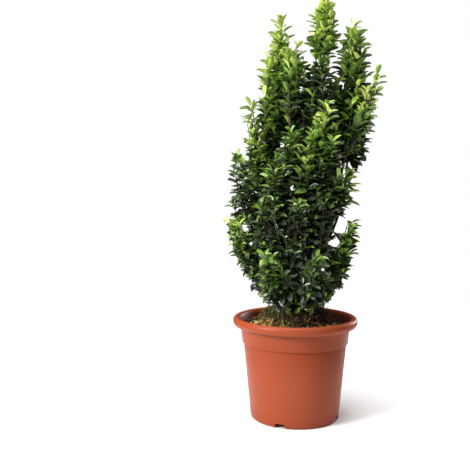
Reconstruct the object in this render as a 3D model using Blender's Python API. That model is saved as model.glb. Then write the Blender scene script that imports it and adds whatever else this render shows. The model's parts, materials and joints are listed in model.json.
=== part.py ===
"""Japanese euonymus, an upright small-leaved evergreen, in a round plastic pot. Metres, +Z up.

The origin is the centre of the pot's flat underside. +X is to the right and -Y to the front.
"""

import math
import random

import bmesh
import bpy
import numpy as np
from mathutils import Vector
from mathutils.bvhtree import BVHTree

GAP = 0.0003

# The pot
POT_HEIGHT = 0.195
RIM_RADIUS = 0.120
COLLAR_RADIUS = 0.1048
COLLAR_FOOT_RADIUS = 0.1023
COLLAR_TOP = 0.170
COLLAR_FOOT = 0.149
BODY_TOP_RADIUS = 0.0992
BODY_TOP = 0.1455
FOOT_RADIUS = 0.0840
WALL = 0.0024
FLOOR_TOP = 0.0105
FLOOR_UNDERSIDE = 0.0080
FOOT_RING = 0.0042
CENTRE_PAD_RADIUS = 0.022
POT_STEPS = 40
NOTCHES = 4
NOTCH_WIDTH = 0.021
NOTCH_HEIGHT = 0.0085
NOTCH_DEPTH = 0.016
NOTCH_SLANT = 0.0015
CUTTER_OUTWARD = 0.006
CUTTER_BELOW = 0.002
FIRST_NOTCH = math.radians(-108.4)

# The compost that fills the pot, and the mossy root ball that stands proud of it
SOIL_EDGE = 0.180
SOIL_AT_ROOT_BALL = 0.187
ROOT_BALL_RADIUS = 0.067
ROOT_BALL_SHOULDER = 0.207
ROOT_BALL_TOP = 0.214
ROOT_BALL_PLATEAU = 0.026

# The trunk and its limbs
TRUNK_FOOT = Vector((0.004, 0.0, ROOT_BALL_TOP + GAP))
TRUNK_TOP = Vector((0.007, 0.0, 0.240))
TRUNK_FLARE = 0.0135
TRUNK_HEIGHTS = (0.10, 0.32, 0.65, 1.0)
TRUNK_SHARES = (1.0, 0.93, 0.80, 0.64, 0.58, 0.42)
TRUNK_SKIRT = 0.0012
STUB_LENGTH = 0.020
BOUGH_RADIUS = 0.0034
SIDE_BOUGH_RADIUS = 0.0027
BOUGH_TIP_RADIUS = 0.0020
BOUGH_END = 0.004
MAIN_BOUGH_FROM = 0.5
TRUNK_SIDES = 12
LIMB_SIDES = 5
LIMB_STEPS = 6
CURVE_PULL = 0.38
SHORTEST_RUN = 0.25

# Stems, twigs and leaves inside a mass; stems and twigs are three-sided
STEM_RADIUS = 0.0023
STEM_TIP_RADIUS = 0.0013
TWIG_RADIUS = 0.0011
TWIG_TIP_RADIUS = 0.0009
NODE_SPACING = 0.0130
NODE_HALF = 0.0008
NODE_TURN = math.radians(52)
TWIGS_AT_NODE = 1
TWIG_REACH = 0.42
TWIG_RISE = 0.80
STRIP_START = 0.3
END_LEAF_LEAN = 1.4
SIDE_LEAF_SHARE = 0.92
SIDE_LEAF_TURN = math.radians(60)
LEAF_LENGTH = 0.060
LEAF_SHORTEST = 0.033
LEAF_GROWTH = 1.45
LEAF_WIDTH = 0.62
LEAF_WIDEST = 0.55
LEAF_THICKNESS = 0.034
LEAF_FOLD = 0.030
LEAF_SPREAD = math.radians(58)
SMALLER_TRIES = (1.0, 0.86, 0.74, 0.62)
SWELL_SHARE = 0.35
TAPER_POWER = 2.6
WHORL_SPREAD = math.radians(50)
TIP_LEAF_SHARE = 0.7
FIRST_NODE = 0.011
LAST_NODE_MARGIN = 0.004
LAST_NODE_SHARE = 0.6
TWIGLESS_TOP = 0.008
LEADER_RADIUS = 0.013
LEADER_SPACING = 0.015
LEADER_SPREAD = math.radians(42)
END_SPREAD = math.radians(24)
OWN_SPACE_MARGIN = 0.0005
SKIRT_CLEARANCE = 0.006
OUTSIDE_MARGIN = 0.008
LIMB_MARGIN = 0.0012
SEED = 41
TURN_JITTER = 0.15
REACH_JITTER = 0.15
SIZE_JITTER = 0.10
SPACING_JITTER = 0.10

COLOURS = {
    "terracotta": ((0.50, 0.13, 0.055), 0.42),
    "compost": ((0.035, 0.022, 0.014), 0.95),
    "bark": ((0.12, 0.085, 0.05), 0.80),
    "leaf": ((0.045, 0.16, 0.018), 0.35),
}


# Each mass's own space is a spindle round the line from foot to tip, with one leader above its shoulder:
# foot, tip, girth, shoulder as a share of the length, the share of the girth lost at the shoulder (a
# negative one widens it), and the share of the girth that it has at its foot
SPACES = {
    "top_left": ((-0.020, 0.015, 0.535), (-0.030, 0.010, 0.773), 0.041, 0.80, 0.70, 0.45),
    "top_centre": ((0.0500, 0.002, 0.674), (0.0530, 0.000, 0.795), 0.0235, 0.97, 0.42, 0.50),
    "top_right": ((0.098, 0.012, 0.485), (0.108, 0.000, 0.753), 0.040, 0.95, 0.60, 0.70),
    "upper_front": ((0.034, -0.052, 0.400), (0.055, -0.085, 0.603), 0.046, 0.88, 0.75, 0.45),
    "upper_back": ((0.022, 0.058, 0.430), (0.014, 0.070, 0.695), 0.052, 0.97, 0.75, 0.45),
    "mid_left": ((-0.066, 0.012, 0.306), (-0.117, 0.000, 0.518), 0.041, 0.88, 0.75, 0.60),
    "shoulder_left": ((-0.045, -0.005, 0.495), (-0.050, -0.005, 0.701), 0.024, 0.86, 0.75, 0.45),
    "tuft_left": ((-0.060, -0.026, 0.422), (-0.086, -0.022, 0.612), 0.025, 0.72, 0.75, 0.45),
    "sprig_left": ((-0.011, -0.036, 0.566), (-0.003, -0.027, 0.716), 0.0125, 0.90, 0.30, 0.60),
    "far_right": ((0.093, -0.028, 0.500), (0.154, -0.015, 0.665), 0.016, 0.80, 0.75, 0.45),
    "centre": ((0.030, -0.018, 0.455), (0.046, -0.020, 0.692), 0.044, 0.96, 0.68, 0.45),
    "mid_right": ((0.046, -0.012, 0.326), (0.107, -0.026, 0.484), 0.027, 0.90, 0.40, 0.45),
    "upper_front_left": ((-0.014, -0.052, 0.400), (-0.008, -0.082, 0.558), 0.042, 0.84, 0.75, 0.45),
    "mid_front_left": ((-0.024, -0.042, 0.288), (-0.042, -0.090, 0.490), 0.048, 0.92, 0.75, 0.45),
    "mid_front_right": ((0.032, -0.042, 0.284), (0.050, -0.096, 0.446), 0.046, 0.92, 0.75, 0.45),
    "mid_front": ((0.004, -0.044, 0.296), (0.006, -0.108, 0.428), 0.040, 0.90, 0.60, 0.80),
    "mid_back_left": ((-0.024, 0.044, 0.288), (-0.044, 0.088, 0.565), 0.052, 0.92, 0.75, 0.45),
    "mid_back_right": ((0.034, 0.044, 0.288), (0.066, 0.084, 0.590), 0.048, 0.94, 0.70, 0.45),
    "low_left": ((-0.040, -0.022, 0.240), (-0.125, -0.040, 0.388), 0.026, 0.94, 0.40, 0.70),
    "low_front_left": ((-0.018, -0.042, 0.236), (-0.048, -0.110, 0.328), 0.038, 0.90, 0.75, 0.90),
    "low_front_right": ((0.024, -0.044, 0.236), (0.046, -0.114, 0.326), 0.038, 0.90, 0.75, 0.90),
    "low_right": ((0.044, -0.023, 0.238), (0.100, -0.060, 0.390), 0.032, 0.90, 0.52, 0.58),
    "low_back_left": ((-0.028, 0.040, 0.236), (-0.074, 0.104, 0.352), 0.040, 0.90, 0.75, 0.65),
    "low_back_right": ((0.034, 0.040, 0.236), (0.072, 0.100, 0.352), 0.038, 0.90, 0.75, 0.65),
}

# The bough that carries each mass: the limb that it leaves, at this share of that limb's length, and
# where it leaves the trunk, its turn from +X and its steepness in degrees
BOUGHS = {
    "top_left": ("trunk", 0.92, 155, 74),
    "top_centre": ("trunk", 0.92, 60, 74),
    "top_right": ("trunk", 0.80, 4, 62),
    "upper_front": ("trunk", 0.80, -78, 58),
    "upper_back": ("trunk", 0.80, 96, 56),
    "mid_left": ("trunk", 0.80, 176, 48),
    "shoulder_left": ("top_left", 0.62),
    "tuft_left": ("top_left", 0.34),
    "sprig_left": ("top_left", 0.80),
    "far_right": ("top_right", 0.60),
    "centre": ("top_centre", 0.34),
    "mid_right": ("top_right", 0.12),
    "upper_front_left": ("upper_front", 0.45),
    "mid_front_left": ("upper_front", 0.10),
    "mid_front_right": ("upper_front", 0.18),
    "mid_front": ("upper_front", 0.28),
    "mid_back_left": ("upper_back", 0.10),
    "mid_back_right": ("upper_back", 0.16),
    "low_left": ("trunk", 0.46, 207, 14),
    "low_front_left": ("trunk", 0.46, 243, 12),
    "low_front_right": ("trunk", 0.46, -62, 12),
    "low_right": ("trunk", 0.46, -24, 14),
    "low_back_left": ("trunk", 0.46, 126, 12),
    "low_back_right": ("trunk", 0.46, 52, 12),
}


def mass_of(name):
    foot, tip, girth, shoulder, taper, base = SPACES[name]
    carrier, at = BOUGHS[name][:2]
    turn, steepness = BOUGHS[name][2:] or (None, None)
    return {
        "foot": Vector(foot),
        "tip": Vector(tip),
        "girth": girth,
        "shoulder": shoulder,
        "taper": taper,
        "base": base,
        "carrier": carrier,
        "at": at,
        "turn": turn,
        "steepness": steepness,
    }


MASSES = {name: mass_of(name) for name in SPACES}


def material(name):
    colour, roughness = COLOURS[name]
    made = bpy.data.materials.new(name)
    made.use_nodes = True
    shader = made.node_tree.nodes["Principled BSDF"]
    shader.inputs["Base Color"].default_value = (*colour, 1.0)
    shader.inputs["Roughness"].default_value = roughness
    shader.inputs["Metallic"].default_value = 0.0
    return made


def mesh_object(name, points, faces, finish=None):
    mesh = bpy.data.meshes.new(name)
    mesh.from_pydata([tuple(p) for p in points], [], faces)
    mesh.update()
    obj = bpy.data.objects.new(name, mesh)
    bpy.context.scene.collection.objects.link(obj)
    if finish:
        mesh.materials.append(finish)
    return obj


def lathe(name, profile, steps, finish):
    """Turns a closed (radius, height) profile, listed anticlockwise with its radius to the right, about Z."""
    rings = []
    points = []
    for radius, height in profile:
        if radius == 0:
            rings.append([len(points)] * steps)
            points.append((0, 0, height))
            continue
        rings.append(list(range(len(points), len(points) + steps)))
        for k in range(steps):
            angle = 2 * math.pi * k / steps
            points.append((radius * math.cos(angle), radius * math.sin(angle), height))
    faces = []
    for i, low in enumerate(rings):
        high = rings[(i + 1) % len(rings)]
        if low[0] == low[1] and high[0] == high[1]:
            continue
        for k in range(steps):
            corners = [low[k], low[(k + 1) % steps], high[(k + 1) % steps], high[k]]
            faces.append(list(dict.fromkeys(corners)))
    obj = mesh_object(name, points, faces, finish)
    obj.data.shade_smooth()
    obj.data.set_sharp_from_angle(angle=math.radians(35))
    return obj


def tube(name, path, radii, sides, finish=None):
    """A closed tapering tube along a path, its ends cut square to it."""
    path = [Vector(p) for p in path]
    points = []
    side = None
    for i, centre in enumerate(path):
        ahead = (path[min(i + 1, len(path) - 1)] - path[max(i - 1, 0)]).normalized()
        if side is None:
            side = ahead.orthogonal().normalized()
        side = (side - ahead * side.dot(ahead)).normalized()
        across = ahead.cross(side)
        for k in range(sides):
            angle = 2 * math.pi * k / sides
            points.append(centre + (side * math.cos(angle) + across * math.sin(angle)) * radii[i])
    faces = [list(range(sides))[::-1]]
    for i in range(len(path) - 1):
        for k in range(sides):
            a = i * sides + k
            b = i * sides + (k + 1) % sides
            faces.append([a, b, b + sides, a + sides])
    faces.append(list(range((len(path) - 1) * sides, len(path) * sides)))
    return mesh_object(name, points, faces, finish)


def curve_points(start, start_way, end, end_way, steps):
    """Points on a cubic curve that leaves start and reaches end along the given ways."""
    pull = (end - start).length * CURVE_PULL
    a = start + start_way.normalized() * pull
    b = end - end_way.normalized() * pull
    points = []
    for i in range(steps + 1):
        t = i / steps
        s = 1 - t
        points.append(start * s**3 + a * 3 * s * s * t + b * 3 * s * t * t + end * t**3)
    return points


def blend(low, high, t):
    return low + (high - low) * t


def apply_boolean(obj, operation, collection, solver="EXACT"):
    """One Boolean with everything in the collection, applied; the collection's objects are removed."""
    step = obj.modifiers.new("join", "BOOLEAN")
    step.operation = operation
    step.solver = solver
    step.operand_type = "COLLECTION"
    step.collection = collection
    graph = bpy.context.evaluated_depsgraph_get()
    mesh = bpy.data.meshes.new_from_object(obj.evaluated_get(graph))
    obj.modifiers.clear()
    obj.data = mesh
    for piece in list(collection.objects):
        bpy.data.objects.remove(piece)
    bpy.data.collections.remove(collection)


def collect(name, pieces):
    collection = bpy.data.collections.new(name)
    bpy.context.scene.collection.children.link(collection)
    for piece in pieces:
        bpy.context.scene.collection.objects.unlink(piece)
        collection.objects.link(piece)
    return collection


def keep_largest_shell(obj):
    """Drops the loose scraps and sealed hollows that a join leaves."""
    mesh = bmesh.new()
    mesh.from_mesh(obj.data)
    bmesh.ops.triangulate(mesh, faces=mesh.faces[:])
    unseen = dict.fromkeys(mesh.faces)
    shells = []
    while unseen:
        todo = [unseen.popitem()[0]]
        shell = []
        while todo:
            face = todo.pop()
            shell.append(face)
            for edge in face.edges:
                for other in edge.link_faces:
                    if other in unseen:
                        del unseen[other]
                        todo.append(other)
        shells.append(shell)
    shells.sort(key=len)
    for shell in shells[:-1]:
        bmesh.ops.delete(mesh, geom=shell, context="FACES")
    mesh.to_mesh(obj.data)
    mesh.free()


def make_pot(finish):
    inside = BODY_TOP_RADIUS - WALL
    profile = [
        (0.0, 0.0),
        (CENTRE_PAD_RADIUS, 0.0),
        (CENTRE_PAD_RADIUS + 0.002, FLOOR_UNDERSIDE),
        (FOOT_RADIUS - FOOT_RING - 0.001, FLOOR_UNDERSIDE),
        (FOOT_RADIUS - FOOT_RING, 0.0),
        (FOOT_RADIUS - 0.001, 0.0),
        (FOOT_RADIUS + 0.0015, 0.0025),
        (BODY_TOP_RADIUS, BODY_TOP),
        (COLLAR_FOOT_RADIUS - 0.0006, BODY_TOP + 0.0010),
        (COLLAR_FOOT_RADIUS, COLLAR_FOOT + 0.0008),
        (COLLAR_RADIUS + 0.0006, COLLAR_TOP + 0.0062),
        (RIM_RADIUS - 0.0088, COLLAR_TOP + 0.0078),
        (RIM_RADIUS - 0.0028, COLLAR_TOP + 0.0098),
        (RIM_RADIUS, POT_HEIGHT - 0.0090),
        (RIM_RADIUS - 0.0012, POT_HEIGHT - 0.0030),
        (RIM_RADIUS - 0.0052, POT_HEIGHT),
        (RIM_RADIUS - 0.0100, POT_HEIGHT - 0.0006),
        (RIM_RADIUS - 0.0130, POT_HEIGHT - 0.0036),
        (COLLAR_RADIUS - WALL, COLLAR_TOP + 0.0040),
        (COLLAR_FOOT_RADIUS - WALL, COLLAR_FOOT),
        (inside, BODY_TOP),
        (FOOT_RADIUS - WALL, FLOOR_TOP + 0.0030),
        (FOOT_RADIUS - WALL - 0.0030, FLOOR_TOP),
        (0.0, FLOOR_TOP),
    ]
    pot = lathe("pot", profile, POT_STEPS, finish)
    cutters = []
    for k in range(NOTCHES):
        angle = FIRST_NOTCH + 2 * math.pi * k / NOTCHES
        outward = Vector((math.cos(angle), math.sin(angle), 0))
        across = Vector((-outward.y, outward.x, 0))
        corners = []
        for z in (-CUTTER_BELOW, NOTCH_HEIGHT):
            slant = 0.0 if z < 0 else NOTCH_SLANT
            half = across * (NOTCH_WIDTH / 2 - slant)
            inner = outward * (FOOT_RADIUS - NOTCH_DEPTH)
            outer = outward * (FOOT_RADIUS + CUTTER_OUTWARD)
            for place in (inner - half, outer - half, outer + half, inner + half):
                corners.append(place + Vector((0, 0, z)))
        faces = [[3, 2, 1, 0], [4, 5, 6, 7], [0, 1, 5, 4], [1, 2, 6, 5], [2, 3, 7, 6], [3, 0, 4, 7]]
        cutters.append(mesh_object(f"notch_{k}", corners, faces))
    apply_boolean(pot, "DIFFERENCE", collect("notches", cutters))
    return pot


def pot_inner_radius(z):
    """The pot's inner wall at a height between its floor and the top of its collar."""
    heights = (FLOOR_TOP + 0.0030, BODY_TOP, COLLAR_FOOT, COLLAR_TOP + 0.0040)
    radii = (FOOT_RADIUS - WALL, BODY_TOP_RADIUS - WALL, COLLAR_FOOT_RADIUS - WALL, COLLAR_RADIUS - WALL)
    return float(np.interp(z, heights, radii))


def make_soil(finish):
    side = [FLOOR_TOP + GAP + 0.0034, BODY_TOP, COLLAR_FOOT, COLLAR_TOP + 0.0040]
    low_radius = pot_inner_radius(side[0]) - GAP
    profile = [(0.0, FLOOR_TOP + GAP), (low_radius - 0.0036, FLOOR_TOP + GAP)]
    profile += [(pot_inner_radius(z) - GAP, z) for z in side]
    profile += [
        (COLLAR_RADIUS - WALL - GAP, SOIL_EDGE - 0.0030),
        (COLLAR_RADIUS - WALL - 0.0030, SOIL_EDGE),
        (ROOT_BALL_RADIUS + 0.002, SOIL_AT_ROOT_BALL),
        (ROOT_BALL_RADIUS - 0.003, blend(SOIL_AT_ROOT_BALL, ROOT_BALL_SHOULDER, 0.75)),
        (ROOT_BALL_RADIUS - 0.012, ROOT_BALL_SHOULDER),
        (ROOT_BALL_PLATEAU, ROOT_BALL_TOP),
        (0.0, ROOT_BALL_TOP),
    ]
    return lathe("compost", profile, POT_STEPS, finish)


def way_of(mass):
    return (mass["tip"] - mass["foot"]).normalized()


def limb_paths():
    """The path and radii of every bough, by its mass's name; a bough on the trunk begins inside the trunk."""
    paths = {}
    for name, mass in MASSES.items():
        end = mass["foot"] - way_of(mass) * (GAP + BOUGH_END)
        if mass["carrier"] == "trunk":
            start = blend(TRUNK_FOOT, TRUNK_TOP, mass["at"])
            turn = math.radians(mass["turn"])
            steepness = math.radians(mass["steepness"])
            level = math.cos(steepness)
            away = Vector((math.cos(turn) * level, math.sin(turn) * level, math.sin(steepness)))
            radius = BOUGH_RADIUS if mass["at"] > MAIN_BOUGH_FROM else SIDE_BOUGH_RADIUS
        else:
            carrier = paths[mass["carrier"]]["path"]
            step = mass["at"] * (len(carrier) - 1)
            low = int(step)
            start = blend(carrier[low], carrier[low + 1], step - low)
            along = (carrier[low + 1] - carrier[low]).normalized()
            away = along + (mass["foot"] - start).normalized()
            radius = SIDE_BOUGH_RADIUS
        path = curve_points(start, away, end, way_of(mass), LIMB_STEPS)
        radii = [blend(radius, BOUGH_TIP_RADIUS, i / LIMB_STEPS) for i in range(LIMB_STEPS + 1)]
        path.append(mass["foot"] - way_of(mass) * GAP)
        radii.append(BOUGH_TIP_RADIUS)
        paths[name] = {"path": path, "radii": radii}
    return paths


def split_path(limb, length):
    """The limb below and above a cut at this length, with the gap between them."""
    path, radii = limb["path"], limb["radii"]
    runs = [(b - a).length for a, b in zip(path, path[1:])]
    done = 0.0
    for i, run in enumerate(runs):
        if done + run > length:
            way = (path[i + 1] - path[i]).normalized()
            cut = path[i] + way * (length - done)
            radius = blend(radii[i], radii[i + 1], (length - done) / run)
            ahead = i + 1 if done + run - length > SHORTEST_RUN * run else i + 2
            low = {"path": path[: i + 1] + [cut], "radii": radii[: i + 1] + [radius]}
            high = {"path": [cut + way * GAP] + path[ahead:], "radii": [radius] + radii[ahead:]}
            return low, high
        done += run
    raise ValueError("the limb is shorter than its stub")


def make_trunk(limbs, finish):
    """The foot with its root flare, and the stub of each bough that leaves it, joined as one solid."""
    path = [TRUNK_FOOT, TRUNK_FOOT + Vector((0, 0, TRUNK_SKIRT))]
    path += [blend(TRUNK_FOOT, TRUNK_TOP, share) for share in TRUNK_HEIGHTS]
    trunk = tube("trunk", path, [TRUNK_FLARE * share for share in TRUNK_SHARES], TRUNK_SIDES, finish)
    stubs = []
    for name, mass in MASSES.items():
        if mass["carrier"] == "trunk":
            stub, bough = split_path(limbs[name], STUB_LENGTH)
            stubs.append(tube(f"stub_{name}", stub["path"], stub["radii"], LIMB_SIDES))
            limbs[name] = bough
    apply_boolean(trunk, "UNION", collect("stubs", stubs), "MANIFOLD")
    keep_largest_shell(trunk)
    return trunk


def make_boughs(limbs, finish):
    """Each bough is one tapering limb; a side bough is cut clear of the bough that carries it."""
    for name, mass in MASSES.items():
        limb = limbs[name]
        bough = tube(f"bough_{name}", limb["path"], limb["radii"], LIMB_SIDES, finish)
        if mass["carrier"] != "trunk":
            carrier = limbs[mass["carrier"]]
            wider = [r + GAP * 1.3 for r in carrier["radii"]]
            cutter = tube("clearance", carrier["path"], wider, LIMB_SIDES)
            apply_boolean(bough, "DIFFERENCE", collect("clearances", [cutter]))
            keep_largest_shell(bough)


def space_radius(mass, t):
    """The radius of a mass's space at each share t of its length."""
    u = np.minimum(1.0, t / mass["shoulder"])
    rise = np.minimum(1.0, u / SWELL_SHARE)
    rise = rise * rise * (3 - 2 * rise)
    body = mass["girth"] * blend(mass["base"], 1.0, rise) * (1 - mass["taper"] * u**TAPER_POWER)
    return np.where(u < 1, np.maximum(LEADER_RADIUS, body), LEADER_RADIUS)


def depth_in_spaces(points):
    """How far each point lies outside each mass's space: a row for each mass."""
    rows = []
    for mass in MASSES.values():
        foot = np.array(mass["foot"])
        run = np.array(mass["tip"]) - foot
        t = np.clip(((points - foot) @ run) / (run @ run), 0, 1)
        away = np.linalg.norm(points - (foot + t[:, None] * run), axis=1)
        rows.append(away - space_radius(mass, t))
    return np.array(rows)


def distance_to_limbs(points, limbs):
    """The clear distance from each point to the nearest limb's surface."""
    nearest = np.full(len(points), 1.0)
    for limb in limbs.values():
        for i in range(len(limb["path"]) - 1):
            a = np.array(limb["path"][i])
            run = np.array(limb["path"][i + 1]) - a
            t = np.clip(((points - a) @ run) / (run @ run), 0, 1)
            away = np.linalg.norm(points - (a + t[:, None] * run), axis=1)
            nearest = np.minimum(nearest, away - limb["radii"][i])
    return nearest


def clear_of_pot(points):
    """True if the points are all above the root ball and the pot's rim."""
    return bool((points[:, 2] > ROOT_BALL_TOP + SKIRT_CLEARANCE).all())


def leaf_points(root, way, across, facing, length):
    """Left edge, right edge, tip and keel of a leaf folded along its midrib.

    across points from its left to its right edge, and its upper side turns towards facing."""
    across = (across - way * across.dot(way)).normalized()
    normal = way.cross(across)
    if normal.dot(facing) < 0:
        normal.negate()
    middle = root + way * length * LEAF_WIDEST
    half = across * length * LEAF_WIDTH / 2
    edge = middle + normal * length * LEAF_FOLD
    return [edge - half, edge + half, root + way * length, middle - normal * length * LEAF_THICKNESS]


LEAF_SURFACE = [[0, 2, 3], [0, 3, 1], [0, 1, 4], [1, 3, 4], [3, 2, 4], [2, 0, 4]]


def leaf_samples(root, corners):
    """Points all over a leaf, for testing where it lies."""
    root = np.array(root)
    left, right, tip, keel = (np.array(c) for c in corners)
    rows = []
    for t in np.linspace(0.1, 1.0, 10):
        spine = root + (tip - root) * t
        share = t / LEAF_WIDEST if t < LEAF_WIDEST else (1 - t) / (1 - LEAF_WIDEST)
        for side in (-1, -0.5, 0, 0.5, 1):
            rows.append(spine + (right - left) / 2 * side * share)
    return np.array(rows + [left, right, tip, keel])


def add_ring(points, centre, way, front, radius):
    """Three points round a shoot, the first on its front."""
    front = (front - way * front.dot(way)).normalized()
    beside = way.cross(front)
    first = len(points)
    for k in range(3):
        angle = k * 2 * math.pi / 3
        points.append(centre + (front * math.cos(angle) + beside * math.sin(angle)) * radius)
    return [first, first + 1, first + 2]


def join_rings(faces, low, high, sides=(0, 1, 2)):
    for k in sides:
        n = (k + 1) % 3
        faces.append([low[k], low[n], high[n], high[k]])


def add_side_leaf(points, faces, below, above, k, corners):
    """A leaf that grows out of side k of a node."""
    n = (k + 1) % 3
    first = len(points)
    points.extend(corners)
    left, right, end, keel = range(first, first + 4)
    faces += [[above[k], above[n], end], [above[n], right, end], [above[k], end, left]]
    faces += [[above[n], below[n], right], [above[k], left, below[k]]]
    faces += [[below[n], below[k], keel], [below[k], left, keel], [left, end, keel]]
    faces += [[end, right, keel], [right, below[n], keel]]


def add_end_leaf(points, faces, last, corners):
    """A leaf that closes the end of a shoot."""
    first = len(points)
    points.extend(corners)
    left, right, end, keel = range(first, first + 4)
    faces += [[last[1], last[2], end], [last[2], right, end], [last[1], end, left]]
    faces += [[last[2], last[0], right], [last[1], left, last[0]]]
    faces += [[last[0], left, keel], [left, end, keel], [end, right, keel], [right, last[0], keel]]


def leaf_that_fits(root, way, across, facing, size, allowed):
    """The corners of the largest leaf that is allowed here, and its surface."""
    way = way.normalized()
    for share in SMALLER_TRIES:
        corners = leaf_points(root, way, across, facing, size * share)
        surface = BVHTree.FromPolygons([root] + corners, LEAF_SURFACE)
        if allowed(leaf_samples(root, corners), surface):
            return corners, surface
    return None, None


def fits(points, own, limbs):
    """True if the points lie in the mass's own space, off the pot, the compost and every limb."""
    depth = depth_in_spaces(points)
    index = list(MASSES).index(own)
    others = np.delete(depth, index, axis=0).min(axis=0)
    mine = depth[index]
    return (
        bool((mine + OWN_SPACE_MARGIN < others - OWN_SPACE_MARGIN).all())
        and bool((mine < OUTSIDE_MARGIN).all())
        and clear_of_pot(points)
        and bool((distance_to_limbs(points, limbs) > LIMB_MARGIN).all())
    )


def line_samples(start, end, count):
    return np.array([tuple(blend(start, end, i / count)) for i in range(1, count + 1)])


def line_surface(start, end, side, width):
    """Two crossed strips that stand for a twig when it is tested against others."""
    way = (end - start).normalized()
    begin = blend(start, end, STRIP_START)
    points = []
    for across in (side, way.cross(side)):
        across = across.normalized() * width
        points += [begin - across, begin + across, end + across, end - across]
    return BVHTree.FromPolygons(points, [[0, 1, 2, 3], [4, 5, 6, 7]])


def add_twig(points, faces, below, above, k, way, radius, leaf_size, allowed):
    """A twig from side k of a stem's node, with a pair of leaves and a leaf at its end.

    Returns the surfaces of what was added, or none where no twig with a leaf is allowed."""
    n = (k + 1) % 3
    start = (points[below[k]] + points[above[n]]) / 2
    across = (points[above[n]] - points[above[k]]).normalized()
    outward = across.cross(way).normalized()
    for share in SMALLER_TRIES:
        end = start + (outward + way * TWIG_RISE) * radius * TWIG_REACH * share
        strips = line_surface(start, end, across, TWIG_RADIUS)
        if allowed(line_samples(start, end, 6), strips):
            break
    else:
        return []
    twig_way = (end - start).normalized()
    front = outward - way * TWIG_RISE
    end_leaf = leaf_that_fits(end, way + outward * END_LEAF_LEAN, -across, way - outward, leaf_size, allowed)
    side_leaves = {}
    for side, turn in ((0, 1), (2, -1)):
        sideways = front.normalized() * math.cos(SIDE_LEAF_TURN) + across * turn * math.sin(SIDE_LEAF_TURN)
        spread = sideways * math.sin(LEAF_SPREAD)
        root = end - twig_way * NODE_HALF
        leaf_way = spread + twig_way * math.cos(LEAF_SPREAD)
        tangent = twig_way.cross(spread)
        size = leaf_size * SIDE_LEAF_SHARE
        side_leaves[side] = leaf_that_fits(root, leaf_way, tangent, twig_way, size, allowed)
    found = [end_leaf] + list(side_leaves.values())
    if not any(corners for corners, surface in found):
        return []
    low = add_ring(points, end - twig_way * NODE_HALF * 2, twig_way, front, TWIG_RADIUS)
    high = add_ring(points, end, twig_way, front, TWIG_TIP_RADIUS)
    faces.append([below[k], below[n], low[0]])
    faces.append([below[n], above[n], low[1], low[0]])
    faces.append([above[n], above[k], low[2], low[1]])
    faces.append([above[k], below[k], low[0], low[2]])
    join_rings(faces, low, high, [1])
    for side, (corners, surface) in side_leaves.items():
        if corners:
            add_side_leaf(points, faces, low, high, side, corners)
        else:
            join_rings(faces, low, high, [side])
    if end_leaf[0]:
        add_end_leaf(points, faces, high, end_leaf[0])
    else:
        faces.append(high)
    return [strips] + [surface for corners, surface in found if corners]


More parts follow.
